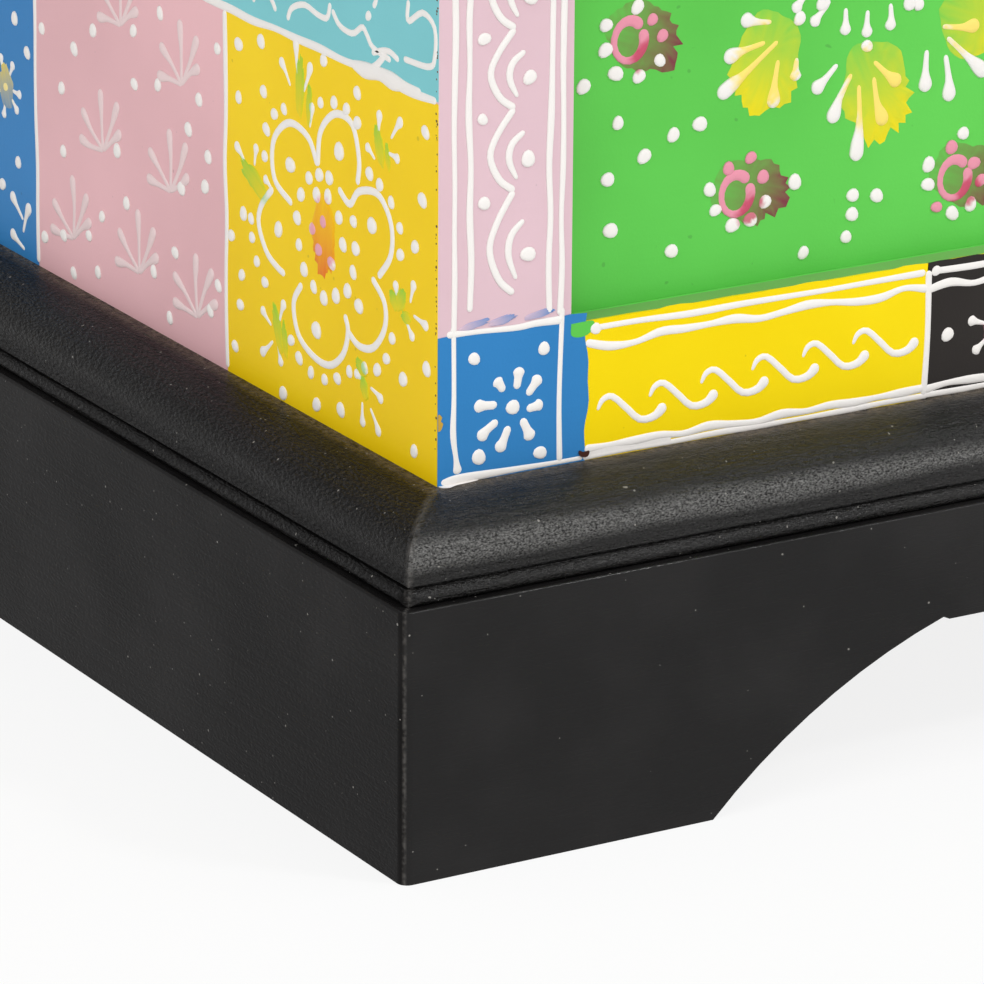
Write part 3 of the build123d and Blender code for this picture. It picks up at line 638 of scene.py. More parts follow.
def left_flower(coat):
    """The flower beside the front corner, stroke by stroke as the photo shows it."""
    lobes = (
        ((64.7, 72.4), (70, 79.1), (80.7, 80.6), (89.5, 73.5), (89, 62.8), (79.1, 58)),
        ((64.7, 72.4), (62.9, 82.6), (55, 89.2), (45.7, 88.5), (41.9, 79.7), (42.8, 72.5)),
        ((53.3, 69), (47.1, 66.1), (41.9, 70.9), (31.6, 72.6), (24.7, 66.4), (24.7, 57.6), (31.5, 49.7)),
        ((90, 59.8), (96.4, 53.7), (98.3, 47.7), (93.8, 40.7), (87.4, 37.8), (83.3, 37)),
        ((73.8, 36.8), (78.4, 30.1), (75.7, 21.7), (66.7, 17.7), (57.8, 17.9), (50.7, 23), (48, 30.1),
         (49.8, 34.6)),
        ((48, 30.1), (41.9, 27.7), (34.1, 29.4), (28, 36.4), (28.1, 43.5), (35, 48.8)),
    )
    coat.work += [line(lobe, 2.4) for lobe in lobes]
    coat.dots(((79.9, 68.9), (52.7, 79.3), (86.8, 48.9), (34.8, 63.2), (65.5, 25.8), (41.9, 38.9)), 5)
    coat.dots((
        (69.4, 67.8), (63.7, 70.1), (58.2, 70.6), (74, 62), (76.2, 54.9), (75.2, 47.5), (72.4, 41.2),
        (67, 37.7), (61.3, 36), (54.6, 38.4), (48.2, 41.5), (45.1, 47.5), (43.7, 54.5), (50.7, 53.8),
        (44.9, 61.8), (52.9, 60.8), (65.1, 64.1), (58.9, 65.2), (67.5, 54), (61.5, 57.5), (64, 49),
        (57, 47),
    ))
    coat.dots((
        (93.5, 75.7), (88.9, 81.1), (83.4, 83.8), (62.9, 90.4), (55.5, 92.2), (48.7, 92), (42.8, 89.6),
        (94.5, 67.8), (102.6, 48), (102.1, 42.7), (99.4, 36.5), (94.8, 31.7), (36.2, 77.2), (30.7, 75.5),
        (24.5, 72.2), (19.9, 66.3), (19.6, 59), (23.9, 34.7), (27, 28.2), (32, 23.7), (38.8, 22.3),
        (47.2, 19), (53.9, 15.2), (61, 12.9), (68.7, 12.8), (75.4, 15.1), (79.9, 19),
    ), 3.8)
    drops = (
        ((76.5, 104.7), (75.3, 93)), ((85.1, 97), (79.8, 91.1)), ((68.5, 99.5), (72.6, 91)),
        ((67.8, 88.5), (69.1, 82)), ((30.8, 95.1), (31.6, 87.5)), ((19.4, 95.7), (24.8, 89.6)),
        ((21, 84.8), (26.5, 85.3)), ((37.6, 84.3), (33.3, 81.8)), ((111.1, 67), (104.6, 61.7)),
        ((99.4, 69.3), (100.6, 63.6)), ((94.5, 61.4), (90, 58.9)), ((12.4, 52.9), (14.4, 47.1)),
        ((5.6, 42.9), (12.7, 44.1)), ((13, 37.8), (16.9, 42)), ((22.1, 50.4), (20.3, 44.7)),
        ((96.4, 23.5), (91.3, 20.2)), ((83.9, 28.6), (86.7, 22.4)), ((96.9, 10.9), (90.4, 15.9)),
        ((85.8, 10.7), (87.6, 15.7)), ((29.7, 15.8), (35.8, 17.7)), ((39.8, 6.2), (40.2, 12.4)),
        ((31.1, 6), (35.8, 11.9)), ((43.7, 19.6), (38.4, 18.3)),
    )
    coat.work += [drop(head, tail, 3.6) for head, tail in drops]
    greens = (
        (74.5, 92, 9.5, 2.6, 94), (69.3, 88, 6.5, 1.7, 92), (31, 86, 6.5, 2.4, 70),
        (26.5, 84, 4, 1.4, 80), (100.5, 59.5, 9.5, 3.2, 28), (19.5, 46.5, 4.2, 2.6, 120),
        (23, 45.5, 3, 2.4, 60), (16.5, 42.5, 3, 1.8, 0), (87.6, 20, 8, 2.3, 70),
        (83.5, 18, 6, 1.4, 80), (40.5, 22, 3.4, 2.4, 20), (39, 16.5, 3.6, 2.2, 60),
    )
    for u, v, reach, breadth, heading in greens:
        coat.wash(u, v, reach, breadth, heading, LEAF, SIDE_YELLOW, 0.85, 0.62)
    coat.wash(61.5, 53.5, 11.5, 7, -83, ORANGE, SIDE_YELLOW, 0.95, 0)
    coat.stains.append((61.5, 53.5, 11.5, 8.5, -83, ROSE, 0.85))


SPRIG_FEET = (
    (143.2, 76.7), (192.2, 45.7), (150.5, 43.8), (212.2, 14.2), (170.4, 14.6), (135, 10.9), (180.3, 85.5),
)
SEEN_DOTS = (
    (155.7, 94.5), (197.5, 80.1), (172.2, 85.7), (209.7, 71.9), (230.5, 73.3), (121.6, 92), (172, 70.2),
    (157.5, 73.3), (218.2, 58.2), (132.8, 74.8), (139.3, 64.7), (127.6, 59.5), (217.7, 39.3), (183.3, 47.8),
    (129.6, 50.4), (143.8, 46.4), (177.8, 33.5), (193.4, 25.6), (202, 17.7), (218.3, 13.6), (148, 26.5),
    (230.8, 9.9), (196.5, 8), (212.2, 3.7), (161.3, 17.4), (151.7, 6.2), (122.2, 23.5), (127, 14.9),
    (109.2, 96.1), (96.3, 99.8), (61.1, 102.5), (42.8, 97.8), (109.4, 81), (95, 86), (6.5, 95.7), (8, 76.9),
    (11.8, 63.2), (5.5, 31.2), (18, 24.9), (12, 6.5), (52, 6.8), (65.5, 4.5), (84.6, 2.4), (112.4, 8.5),
    (109.2, 21.4), (108.2, 30.3), (107, 48.3), (114.2, 40.2),
)


def side_rows(low, middle, high):
    """The three rows of a side: three patches, two that straddle their seams, and three more. A
    patch is named by its colour and its ornament."""
    seams = (FIRST_SEAM, SECOND_SEAM, BODY_DEPTH)
    ends = (seams, (MIDDLE_SEAM, BODY_DEPTH), seams)
    tops = (*ROW_TOPS, BODY_HEIGHT)
    return [(top, [(end, *cell) for end, cell in zip(row_ends, cells)])
            for top, row_ends, cells in zip(tops, ends, (low, middle, high))]


left_rows = side_rows(
    (("side_yellow", "none"), ("side_pink", "none"), ("blue", "none")),
    (("cyan", "none"), ("side_yellow", "flower")),
    (("side_pink", "sprigs"), ("green", "petals"), ("blue", "worms")),
)
left = Coat("side_left", wall((-HALF_WIDTH, -HALF_DEPTH, BODY_FOOT), (0, 1, 0), (0, 0, 1), (-1, 0, 0)))
patchwork(left, BODY_DEPTH, BODY_HEIGHT, left_rows)
left_flower(left)
left.dots(SEEN_DOTS)
for foot in SPRIG_FEET:
    left.work += sprig(*foot, 1, THIN_WHITE)
wanders = (
    ((81.4, 109.2), (78.7, 113.1), (71.6, 115.5), (64.5, 114.4), (59.3, 114.7), (57.5, 119.1)),
    ((56.6, 117.5), (52.3, 114.1), (45.4, 113.5), (40.2, 116.4), (37.6, 114.8), (34.2, 112.1),
     (24.9, 110.8)),
    ((15.7, 129.2), (15.7, 123.6), (8.2, 127.4), (2, 124.7), (1.8, 117.2), (4.8, 113.7), (18.1, 112.8)),
    ((35.1, 110.6), (26.6, 113), (20.6, 111.8)), ((101, 110), (96, 116), (90.5, 113), (87.7, 110.2)),
)
left.work += [line(path, 2) for path in wanders]
blots = (
    ((46, 105.2, 2.4), (39, 105, 5), (31, 105.8, 4.2), (24, 105.4, 5.4), (17, 105.6, 3), (9, 105.9, 2)),
    ((38, 105.5, 2), (33, 107.5, 2.4), (28, 111.5, 2.2)),
)
left.work += [line(path) for path in blots]
left.dots([(36.8, 120.2)], 3)
left.work += worms(22, 121, 172, 188) + worms(104, 108, 174, 121)
for u, v in ((255, 50), (300, 24), (326, 72)):
    left.work += petal_flower(u, v)
    left.wash(u, v, 7, 5, 70, YELLOW, BLUE)
strays = (((252.3, 17.5), (245.2, 11.5)), ((240.9, 16.5), (245.4, 7.6)), ((252.8, 5.7), (244.5, 2.5)))
left.work += [drop(head, tail) for head, tail in strays]
for foot in ((288, 52), (268, 78), (302, 76), (335, 36), (275, 6), (328, 4)):
    left.work += sprig(*foot, 0.8)
left.dots((
    (248.4, 72.3), (240.5, 63.7), (247.7, 28.6), (258.6, 19.2), (262, 92), (284, 90), (345, 90), (340, 60),
))
left.lay()
RUB_COUNT = 90
rub_heights = INK.uniform(3, 272, RUB_COUNT)
rubs = [dot(INK.uniform(0.4, 1.1), v, INK.uniform(0.4, 0.9), SPECK_BROWN) for v in rub_heights]
lay("side_left_corner_rubs", left.face, rubs, dab_paint)

right_rows = side_rows(
    (("green", "flower"), ("black", "petals"), ("yellow", "flower")),
    (("pink", "sprigs"), ("blue", "worms")),
    (("blue", "petals"), ("yellow", "sprigs"), ("green", "worms")),
)
right = Coat("side_right", wall((HALF_WIDTH, -HALF_DEPTH, BODY_FOOT), (0, 1, 0), (0, 0, 1), (1, 0, 0)))
patchwork(right, BODY_DEPTH, BODY_HEIGHT, right_rows)
right.lay()
SIDE_SKIN = 0.3565
finish_nodes(painted("pink_side_board", PINK, 0, SIDE_SKIN, -1), "side_board_left")
finish_nodes(painted("cyan_side_board", CYAN, 0, SIDE_SKIN, 1), "side_board_right")

# Front and back frames
# Stiles, rails and muntins jointed into a frame with three openings. They are painted after the
# gluing, so the pink stiles carry blue corner blocks and the rails change colour along their run.
OPENINGS = ((41, 237), (278, 474), (515, 711))
SILL, HEAD = 39, 236
CORNER_BLOCK, BLOCK_HEIGHT = 46, 41
BLOCK_LIFT = 0.2
TUCK = 3
WAVE_STEP = 17.5
BOW_HEIGHT = 22
FRAME_SKIN = 0.1563
CHIP_YELLOW = shade(200, 160, 62)
MARK_BROWN = shade(72, 42, 34)
STILE_RULES = (
    (5, 4.6, 42, 1.8, 0.25), (9.6, 9.2, 47, 1.9, 0.5),
    (34.2, 34, 43, 2, 0.5), (37.7, 38.1, 42, 1.8, 0.25),
)
WAVER = 2.4 + 0.5 * np.sin(np.arange(15) * 2.3)
CUSPS = (228, 208, 187, 165.5, 144, 122.2, 100.7, 78.3, 50.1)


def vine(u, way=1):
    """A stalk that bows out and comes back between cusps, with a comma and two dots at each bow."""
    work = []
    for high, low in zip(CUSPS[:-1], CUSPS[1:]):
        step = (high - low) / BOW_HEIGHT
        bow = ((0, 0), (-5, -6.3), (-7.2, -12), (-4.4, -18.4), (0.2, -22))
        work.append(line([(u + way * a, high + b * step) for a, b in bow], 2.1))
        comma = ((3.2, -6.5, 1.6), (-0.6, -9.5, 2.2), (-1.4, -13.8, 2.1), (1, -19, 1.2))
        work.append(line([(u + way * a, high + b * step, w) for a, b, w in comma]))
        work.append(dot(u + way * (4.4 + INK.uniform(-0.4, 0.6)), high - 14 * step, 4.2))
        work.append(dot(u - way * (9.5 + INK.uniform(-0.8, 0.8)), high - 1.7 * step, 3.6))
    return work


def corner_block(u, v, across=1, up=1):
    """The ruled square at a frame's corner: a line on each side, four dots and a flower of drops."""
    rules = (
        ((2.6, 41.6, 2.2), (12, 41.2, 1.6), (24, 40.5, 1.9), (30, 40.8, 2.1), (38.4, 40.6, 2.6)),
        ((4.7, 44, 1.7), (4.9, 24.5, 1.7), (4.7, 14, 2.2), (5.6, 7, 1.8), (6.2, 2.6, 3.6)),
        ((38.1, 44, 1.8), (37.4, 19.4, 1.8), (37.7, 1, 2.1)),
        ((1, 0.9, 1.8), (7, 1.2, 3), (22, 1.1, 2.1), (37, 0.9, 1.5), (45, 0.9, 1.5)),
    )
    petals = (
        ((24.8, 28.4), (24.1, 23.4)), ((30.6, 25.3), (27.4, 21.2)), ((31.4, 18.2), (27.2, 17.4)),
        ((28.4, 9.6), (25.8, 15)), ((19, 7.8), (21.8, 13.6)), ((13.4, 11.8), (18.4, 15.6)),
        ((12.2, 20.6), (18.2, 20)), ((18, 26.6), (20.2, 23.4)),
    )
    spots = ((11, 33.9), (32.5, 33.5), (12.6, 6.3), (31.6, 4.5), (23, 18.6))

    def there(spot):
        return (u + across * spot[0], v + up * spot[1], *spot[2:])

    work = [line([there(spot) for spot in rule]) for rule in rules]
    work += [drop(there(head), there(tail), 4.7, tail_share=0.6) for head, tail in petals]
    return work + [dot(*there(spot), 4.2) for spot in spots]


def wave_row(u0, u1, v, way=1):
    """Leaning waves along a rail, each from a thin start to a fat head, that climb a little."""
    n = round((u1 - u0) / WAVE_STEP)
    work = []
    for i in range(n):
        u = u0 + 3.5 + i * (u1 - u0 - 28) / (n - 1)
        rise = v + way * 1.2 * i
        path = ((0, 0, 1), (1.6, 2.7, 1.9), (4.6, 3.2, 2), (9, -0.6, 2.1), (13.4, -4.6, 2.2),
                (18.2, -4.4, 2.7), (21.4, -1.6, 3.9))
        work.append(line([(u + a, rise + way * b, w) for a, b, w in path]))
    return work


def rail_run(coat, v0, v1, tones, way):
    """One rail's paint between its corner blocks: lengths of colour with their own ornament."""
    starts = CORNER_BLOCK + np.arange(len(tones) + 1) * (BODY_WIDTH - 2 * CORNER_BLOCK) / len(tones)
    foot, rim = (v0, v1) if way > 0 else (v1, v0)
    for tone, u0, u1 in zip(tones, starts[:-1], starts[1:]):
        limits = (None, 0, None, BODY_HEIGHT) if way > 0 else (None, HEAD, None, BODY_HEIGHT)
        under = TUCK if u0 < CORNER_BLOCK + 1 else 0
        over = TUCK if u1 > BODY_WIDTH - CORNER_BLOCK - 1 else 0
        coat.patches.append((tone, film(patch(u0 - under, v0, u1 + over, v1, 0.6, limits))))
        middle = (v0 + v1) / 2
        ground = PATCH_NAMES[tone]
        coat.work.append(edging(u0 + 1.5, rim - way * 2.5, u1 - 1, rim - way * 2.5, 1.9, 0.3))
        coat.dots([(u0 + 2.6, rim - way * 2.4)], 3.4)
        run = np.linspace(u0 - 0.5, u1, len(WAVER))
        upper = rim - way * (7 + INK.uniform(-1.1, 1.2, len(WAVER)))
        coat.work.append(line(np.column_stack([run, upper, WAVER])))
        lower = foot + way * (2.8 + INK.uniform(-0.8, 0.9, len(WAVER)))
        coat.work.append(line(np.column_stack([run, lower, WAVER[::-1]])))
        coat.work.append(edging(u0 - 1, foot + way * 0.9, u1 + 1, foot + way * 0.9, 1.7, 0.2))
        coat.work.append(edging(u1, v0 + 1, u1, v1 - 2, 2))
        if tone == "yellow":
            coat.work += wave_row(u0, u1, foot + way * 13.5, way)
        elif tone == "black":
            for u in np.linspace(u0 + 24, u1 - 22, 3):
                coat.work += petal_flower(u, middle - 2, 1.05, 6)
                coat.wash(u, middle - 2, 6, 4.5, 20, ROSE, ground)
            coat.dots([(u, middle - 2 + INK.uniform(-2, 2)) for u in np.linspace(u0 + 7, u1 - 5, 4)])
        elif tone == "pink":
            for u in np.linspace(u0 + 18, u1 - 18, 4):
                coat.work += sprig(u, middle - 11, 0.8)
            coat.dots([(u, middle + INK.uniform(-2, 4)) for u in np.linspace(u0 + 5, u1 - 5, 4)])
        else:
            coat.work += worms(u0 + 4, v0 + 6, u1 - 3, v1 - 9, 17)


def frame_paint(name, face):
    """One long face, but for its panels: blocks, stiles, rails and muntins."""
    coat = Coat(name, face)
    for u, across in ((0, 1), (BODY_WIDTH, -1)):
        for v, up in ((0, 1), (BODY_HEIGHT, -1)):
            a, b = sorted((u, u + across * CORNER_BLOCK))
            low, high = sorted((v, v + up * BLOCK_HEIGHT))
            outline = patch(a, low, b, high, 0.9, (0, 0, BODY_WIDTH, BODY_HEIGHT), 2.6)
            coat.patches.append(("blue", film(outline, lift=BLOCK_LIFT)))
            coat.work += corner_block(u, v, across, up)
        coat.work += vine(u + across * 22.8, across)
        for near, far, foot, wide, push in STILE_RULES:
            coat.work.append(edging(u + across * near, foot, u + across * far, HEAD - 3, wide, push))
    run = ["yellow", "black", "pink", "cyan", "black", "yellow"]
    rail_run(coat, 0, SILL, run, 1)
    rail_run(coat, HEAD, BODY_HEIGHT, run[::-1], -1)
    for (_, u0), (u1, _) in zip(OPENINGS[:-1], OPENINGS[1:]):
        middle = (u0 + u1) / 2
        coat.work += [edging(u, SILL + 3, u, HEAD - 3) for u in (u0 + 3.5, u1 - 3.5)]
        for v in np.arange(SILL + 20, HEAD - 8, 31.5):
            coat.work += petal_flower(middle, v, 1.1)
            coat.dots([(middle, v + 15.7), (middle - 11, v + 14), (middle + 11, v + 16)])
            coat.wash(middle, v, 6.5, 5, 40, YELLOW, BLUE)
    return coat


def spill(outline, count, colour=WHITE, lift=PAINT_THICKNESS):
    """A film with a rounded outline, which comes back to its first point."""
    return film(walk(outline, count)[:-1], colour, lift)


front_face = wall((-HALF_WIDTH, -HALF_DEPTH, BODY_FOOT), (1, 0, 0), (0, 0, 1), (0, -1, 0))
front = frame_paint("frame_front", front_face)
slop = [(40.9, 39), (47.4, 39), (47.9, 37.4), (46.4, 35.5), (43.6, 34.9), (41, 35.8), (40.9, 39)]
front.patches.append(("green", spill(slop, 30, lift=BLOCK_LIFT + 0.06)))
chip = [(0.1, 15.4), (0.9, 15.8), (1.5, 17.4), (0.8, 18.2), (1.2, 19.2), (0.1, 20), (0.1, 15.4)]
mark = [(43.6, 2.4), (43.9, 3.1), (45.2, 2.5), (46.8, 2.7), (46.3, 1.2), (44.4, 1.3), (43.6, 2.4)]
knocks = [spill(chip, 24, CHIP_YELLOW, BLOCK_LIFT + 0.2), spill(mark, 24, MARK_BROWN, BLOCK_LIFT + 0.5)]
knocks.append(film(patch(47, 0.9, 73, 3.4, 0.45), WHITE, BLOCK_LIFT + 0.1))
knocks += [dab(u, 43.2, 4.5, 1.1, 8, BLUE, PINK, 0.9, 0.3) for u in (11, 19.5, 31)]
lay("frame_front_knocks", front.face, knocks, dab_paint)
moulding_top = wall((-HALF_WIDTH, -HALF_DEPTH, BODY_FOOT - 0.00002), (1, 0, 0), (0, -1, 0), (0, 0, 1))
smear = [(0.2, -0.4), (0.6, 1.5), (2.6, 2.3), (5, 1.4), (8.5, 1), (12, 0.5), (12, -0.4), (0.2, -0.4)]
lay("moulding_front_smear", moulding_top, [spill(smear, 32)], dab_paint)
front.lay()
back_face = wall((HALF_WIDTH, HALF_DEPTH, BODY_FOOT), (-1, 0, 0), (0, 0, 1), (0, 1, 0))
frame_paint("frame_back", back_face).lay()
for side, sign in (("front", -1), ("back", 1)):
    looks = {tone: painted(f"{tone}_{side}_frame", PATCH_NAMES[tone], 1, FRAME_SKIN, sign)
             for tone in ("pink", "yellow", "blue")}
    finish_nodes(looks["pink"], f"{side}_stile_left", f"{side}_stile_right")
    finish_nodes(looks["yellow"], f"{side}_rail_bottom", f"{side}_rail_top")
    finish_nodes(looks["blue"], f"{side}_muntin_1", f"{side}_muntin_2")

# Panels
# Thin boards let into the frames, eight millimetres behind their faces. One great flower fills
# each, and the green of the panel runs out over the ledge of the frame in front of it.
PANEL_FOCUS = np.array([139, 137.5])
PANEL_FACE, PANEL_SKIN = 0.168, 0.1605
LEDGE_TOP = 0.14
LEDGE_DEPTH = 7.4
MAROON = shade(128, 58, 72)
OLIVE = shade(126, 180, 102)
CRIMSON = shade(196, 66, 96)
FAN = ((-66, 12.5), (-28, 17), (-2, 24.5), (27, 19), (62, 14))
SEEN_FANS = {
    0: (((99.3, 113.4), (107.9, 111.6)), ((94.1, 103.4), (106, 106.2)), ((92.3, 93.6), (110, 106.1)),
        ((109, 88.8), (110.2, 100.9)), ((115.9, 95.4), (116.2, 100.6))),
    1: (((128.4, 81.9), (134.2, 93.9)), ((136.3, 70.2), (136.6, 90.5)), ((145, 79.2), (141.4, 92.1)),
        ((149.3, 89.8), (141.3, 96.5)), ((122.6, 91), (129.5, 97.1))),
    2: (((158.7, 86.8), (158.8, 97.4)), ((166.6, 83.1), (165.1, 95.2)), ((174.8, 102.5), (163.8, 103.4)),
        ((178.2, 88.7), (165.5, 100.1))),
}
SEEN_FLOWERS = (
    (62.8, 112.1, ((65.3, 121), (55.6, 117.2), (55.5, 110.4), (58.8, 103.6), (66.1, 101.9), (72.5, 105.5)),
     ((70, 117), (73.2, 112.2))),
    (97.5, 64.9, ((89.1, 67.4), (91, 61.4), (96.6, 56.4), (102.3, 57.2), (106.9, 61.6), (116.5, 65.8)),
     ((95, 72.5), (102.1, 74.6), (106.1, 68.7))),
    (169.1, 59.5, ((171.8, 72.1), (160.5, 64.7), (160.5, 59), (168.9, 49.6), (175, 51.4)),
     ((168, 68.6), (175.6, 63.1), (178.1, 57.8), (163.6, 52.1))),
)
SOWN_DOTS = (
    (48.8, 101.3), (59.7, 89.9), (77.2, 84.3), (85.6, 86.2), (68.1, 79.6), (56.7, 74.7), (57.8, 60.4),
    (77.2, 51.9), (119.8, 45.3), (133.7, 47.8), (135.5, 54), (135.6, 59.4), (143.5, 58.2),
    (124.4, 114.8), (152.6, 111.4), (116.9, 111.5),
)


def fan(coat, focus, heading, ground, strokes=None):
    """Drops fanned from a focus, with a yellow wash brushed over their tails to the left."""
    if strokes is None:
        turns = [(heading + t + INK.uniform(-4, 4), r * INK.uniform(0.94, 1.06)) for t, r in FAN]
        strokes = [(focus + r * way_of(t), focus + r * 0.28 * way_of(t)) for t, r in turns]
    coat.work += [drop(head, tail, 4.9) for head, tail in strokes]
    spot = focus + 9 * way_of(heading + 22)
    coat.wash(*spot, 14, 11.5, heading + 25, YELLOW, ground, 0.86, 0.78)


def ringed_flower(coat, u, v, ground, white, pink):
    """A pink ring with a darker heart, white and pink dots about it, and a maroon blotch brushed
    off to its right."""
    coat.wash(u + 4.5, v + 0.5, 12, 9.4, -22, MAROON, ground, 1, 0)
    turn = np.linspace(0.6, 2 * np.pi + 0.5, 12)
    ring = np.stack([u + 4.7 * np.cos(turn), v + 5.5 * np.sin(turn), 2.9 + 0.8 * np.cos(turn - 0.6)], 1)
    coat.work.append(line(ring, colour=ROSE))
    coat.stains.append((u + 4.5, v - 4.5, 5.5, 3.6, 45, CRIMSON, 0.85))
    coat.dots(white)
    coat.dots(pink, 4, ROSE)


def panel_paint(name, face, shift, ground, seen):
    """Rings about the panel's middle: a flower of drops, eight fans, and eight small flowers.
    Those that the photo shows are placed by it."""
    coat = Coat(name, face)
    cu, cv = PANEL_FOCUS
    keep = [(cu, cv, 64)]
    for i in range(8):
        heading = -135 + 45 * i
        way, side = way_of(heading), way_of(heading + 90)
        fan(coat, PANEL_FOCUS + 41 * way, heading, ground, SEEN_FANS.get(i) if seen else None)
        for b, reach in ((-7.2, 31.5), (0, 33), (7.4, 32)):
            head = PANEL_FOCUS + reach * way + b * side
            coat.work.append(drop(head, head - 6.5 * way, 4.2))
        if not seen or i not in (0, 2):
            coat.dots([PANEL_FOCUS + 36.5 * way], 4)
        if seen and i < len(SEEN_FLOWERS):
            spot = SEEN_FLOWERS[i]
        else:
            u, v = PANEL_FOCUS + 82 * way_of(-160 + 45 * i)
            turns = np.radians(np.arange(8) * 45 + 20)
            about = [(u + 9.6 * np.cos(turn), v + 10 * np.sin(turn)) for turn in turns]
            spot = (u, v, about[2:7], about[:2] + about[7:])
        ringed_flower(coat, *spot[:2], ground, *spot[2:])
        keep.append((spot[0] + 4, spot[1], 19))
    for i in range(10):
        a = 36 * i
        petal = ((9, 0), (15, -13), (21, 0), (15, 13), (9.4, 2))
        coat.work.append(line([PANEL_FOCUS + r * way_of(a + t) for r, t in petal], 2))
        coat.dots([PANEL_FOCUS + 5.6 * way_of(a + 18)], 3)
    coat.wash(cu, cv, 17, 15, 30, ORANGE, ground, 0.9, 0.3)
    if seen:
        coat.dots(SOWN_DOTS)
        coat.work += sown(46, 150, 232, 231, 14, keep) + sown(192, 44, 232, 140, 14, keep)
    else:
        coat.work += sown(46, 44, 232, 231, 14, keep)
    step = np.array([shift, 0, 0])
    coat.work, coat.washes = ([(rings + step, tone, form) for rings, tone, form in group]
                              for group in (coat.work, coat.washes))
    coat.stains = [(u + shift, *rest) for u, *rest in coat.stains]
    return coat


patch_paint["olive"] = painted("olive_ledge", OLIVE)
SLOTS["olive"] = "green_gloss_paint"
for side, sign in (("front", -1), ("back", 1)):
    across, outward = (-sign, 0, 0), (0, sign, 0)
    face = wall((sign * HALF_WIDTH, sign * PANEL_FACE, BODY_FOOT), across, (0, 0, 1), outward)
    ledge = wall((sign * HALF_WIDTH, sign * PANEL_FACE, LEDGE_TOP), across, outward, (0, 0, 1))
    shelf = Coat(f"ledges_{side}", ledge)
    for i, (u0, u1) in enumerate(OPENINGS):
        run = patch(u0 + 0.3, 0.2, u1 - 0.3, LEDGE_DEPTH, 0.35, spacing=3.0)
        shelf.patches.append(("olive", film(run)))
        shelf.work.append(edging(u0 + 1, 0.6, u1 - 1, 0.6, 0.9, 0.1))
        tone = "pink" if i == 1 else "green"
        ground = PATCH_NAMES[tone]
        seen = side == "front" and i == 0
        panel_paint(f"panel_{side}_{i + 1}", face, u0 - OPENINGS[0][0], ground, seen).lay()
        finish = painted(f"{tone}_{side}_panel_{i + 1}", ground, 1, PANEL_SKIN, sign)
        finish_nodes(finish, f"{side}_panel_{i + 1}")
    shelf.stains = [(BODY_WIDTH / 2, 0, BODY_WIDTH, 9, 0, GREEN, 1)]
    shelf.lay()

# Lid board and its mouldings
# A board the size of the body with the same black moulding mitred round its edge. Its top is
# painted in patches as the sides are, and its underside is bare.
LID_TOP, LID_SKIN = 0.4, 0.3992
finish_nodes(painted("green_lid_board", GREEN, 2, LID_SKIN, 1), "lid_board")
finish_nodes(black_long, "lid_moulding_front", "lid_moulding_back")
finish_nodes(black_short, "lid_moulding_left", "lid_moulding_right")
lid_rows = [
    (117, [(150, "yellow", "flower"), (300, "pink", "sprigs"), (452, "blue", "flower"),
           (602, "green", "worms"), (BODY_WIDTH, "black", "petals")]),
    (235, [(188, "cyan", "worms"), (376, "green", "flower"), (564, "yellow", "petals"),
           (BODY_WIDTH, "pink", "flower")]),
    (BODY_DEPTH, [(150, "black", "petals"), (300, "blue", "sprigs"), (452, "pink", "flower"),
                  (602, "cyan", "worms"), (BODY_WIDTH, "yellow", "flower")]),
]
lid_face = wall((-HALF_WIDTH, -HALF_DEPTH, LID_TOP), (1, 0, 0), (0, 1, 0), (0, 0, 1))
lid_top = Coat("lid_top", lid_face, "lid")
patchwork(lid_top, BODY_WIDTH, BODY_DEPTH, lid_rows)
lid_top.lay(("_front", "_back"))

# Lid battens
# Two bare battens screwed across the underside, clear of the box's walls when it is shut, that
# keep the lid flat.
finish_nodes(wood_across, "lid_batten_left", "lid_batten_right")


# Hinges and screws
# Two plated steel butt hinges at the back, a pin through the knuckles of each, and countersunk
# steel screws. The plating has dulled.
def steel(name, colour):
    """Plated steel with a fine scratch along it and duller clouds."""
    material, tree, shader, coords = new_finish(name, 0.32)
    shader.inputs["Metallic"].default_value = 1.0
    cloud = speckle(tree, coords, (160.0,) * 3, 3.0)
    scratch = speckle(tree, coords, (60.0, 2200.0, 2200.0), 1.0)
    tone = mixed(tree, remap(tree, cloud, 0.3, 0.7, 0.0, 1.0), solid(colour), solid(colour * 0.7))
    tree.links.new(tone, shader.inputs["Base Color"])
    tree.links.new(remap(tree, cloud, 0.3, 0.7, 0.28, 0.5), shader.inputs["Roughness"])
    bumped(tree, shader, [(scratch, 0.00003)])
    return material


hinge_finish = steel("hinge_plating", shade(196, 186, 166))
screw_finish = steel("screw_plating", shade(190, 186, 180))
for side in ("left", "right"):
    finish_nodes(hinge_finish, *[f"hinge_{part}_{side}" for part in ("body_leaf", "lid_leaf", "pin")])
finish_nodes(screw_finish, *[f"hinge_screws_{part}" for part in ("body", "lid")])
finish_nodes(screw_finish, *[f"{part}_screws" for part in ("base", "block", "batten")])

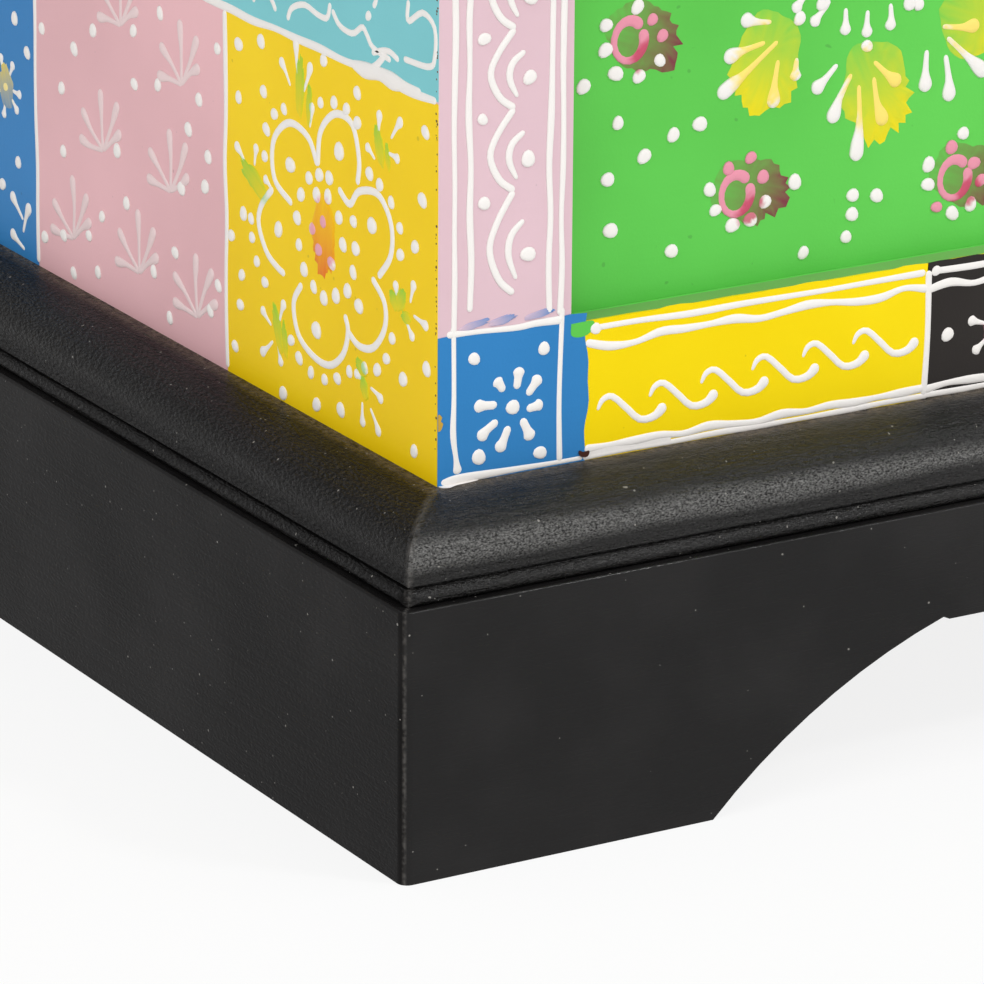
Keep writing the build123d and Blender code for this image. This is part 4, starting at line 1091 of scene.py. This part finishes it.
# Floor, light and camera
# A plain pale floor under soft studio light, seen from the front left corner, low and from afar,
# as with a long lens.
FLOOR_HALF = 6.0
FLOOR_PALENESS = 0.85
FLOOR_TONE = (0.93, 0.93, 0.93, 1.0)
FULL_WHITE = (1.0, 1.0, 1.0, 1.0)
BRIGHT_SIDE = (0.15, -0.75, 0.645)
SKY_STRENGTHS = (0.16, 0.9)
scene = bpy.context.scene
scene.view_settings.view_transform = "Standard"
floor_mesh = bpy.data.meshes.new("floor")
square = np.array([(-1, -1, 0), (1, -1, 0), (1, 1, 0), (-1, 1, 0)]) * FLOOR_HALF
floor_mesh.from_pydata(square.tolist(), [], [(0, 1, 2, 3)])
floor = bpy.data.objects.new("floor", floor_mesh)
scene.collection.objects.link(floor)
material, tree, shader, coords = new_finish("pale_floor", 0.9)
shader.inputs["Base Color"].default_value = FLOOR_TONE
shader.inputs["Specular IOR Level"].default_value = 0.0


def seen_directly(tree):
    """One for what the camera, a mirror or glass shows, and nought for light on the object."""
    rays = add_node(tree, "ShaderNodeLightPath").outputs
    seen = figure(tree, "MAXIMUM", rays["Is Camera Ray"], rays["Is Glossy Ray"])
    return figure(tree, "MAXIMUM", seen, rays["Is Transmission Ray"])


seen = seen_directly(tree)
plain_white = add_node(tree, "ShaderNodeEmission", {"Color": FULL_WHITE, "Strength": 1.0})
paled = add_node(tree, "ShaderNodeMixShader", {0: figure(tree, "MULTIPLY", seen, FLOOR_PALENESS)})
tree.links.new(shader.outputs[0], paled.inputs[1])
tree.links.new(plain_white.outputs[0], paled.inputs[2])
tree.links.new(paled.outputs[0], tree.nodes["Material Output"].inputs["Surface"])
floor_mesh.materials.append(material)

world = bpy.data.worlds.new("studio")
scene.world = world
world.use_nodes = True
sky = world.node_tree
backdrop = sky.nodes["Background"]
aim = add_node(sky, "ShaderNodeTexCoord").outputs["Generated"]
toward = add_node(sky, "ShaderNodeVectorMath", {0: aim, 1: BRIGHT_SIDE}, operation="DOT_PRODUCT")
backdrop.inputs["Color"].default_value = FULL_WHITE
glow = remap(sky, toward.outputs["Value"], -0.4, 0.7, *SKY_STRENGTHS)
sky.links.new(figure(sky, "MAXIMUM", glow, seen_directly(sky)), backdrop.inputs["Strength"])


def lamp(name, place, turn, size, watts):
    """A square soft light, turned by degrees about x, y and z."""
    data = bpy.data.lights.new(name, "AREA")
    data.size = size
    data.energy = watts
    made = bpy.data.objects.new(name, data)
    scene.collection.objects.link(made)
    made.location = place
    made.rotation_euler = np.radians(turn)


lamp("high_light", (0.9, -1.6, 2.1), (42.7, 0, 40.6), 0.35, 17)
lamp("side_light", (-2.6, -0.9, 1.6), (62, 0, -74), 1.6, 21)

CAMERA_PLACE = (-1.1504, -1.5108, 0.6223)
HEADING, TILT, ROLL = 30.66, 18.71, 0.40
FOCAL_LENGTH, SENSOR_WIDTH = 224.93, 36.0
lens = bpy.data.cameras.new("long_lens")
lens.lens = FOCAL_LENGTH
lens.sensor_width = SENSOR_WIDTH
camera = bpy.data.objects.new("camera", lens)
scene.collection.objects.link(camera)
camera.location = CAMERA_PLACE
camera.rotation_mode = "XYZ"
level = Euler(np.radians((90 - TILT, 0, -HEADING))).to_matrix()
camera.rotation_euler = (level @ Matrix.Rotation(np.radians(ROLL), 3, "Z")).to_euler()
scene.camera = camera
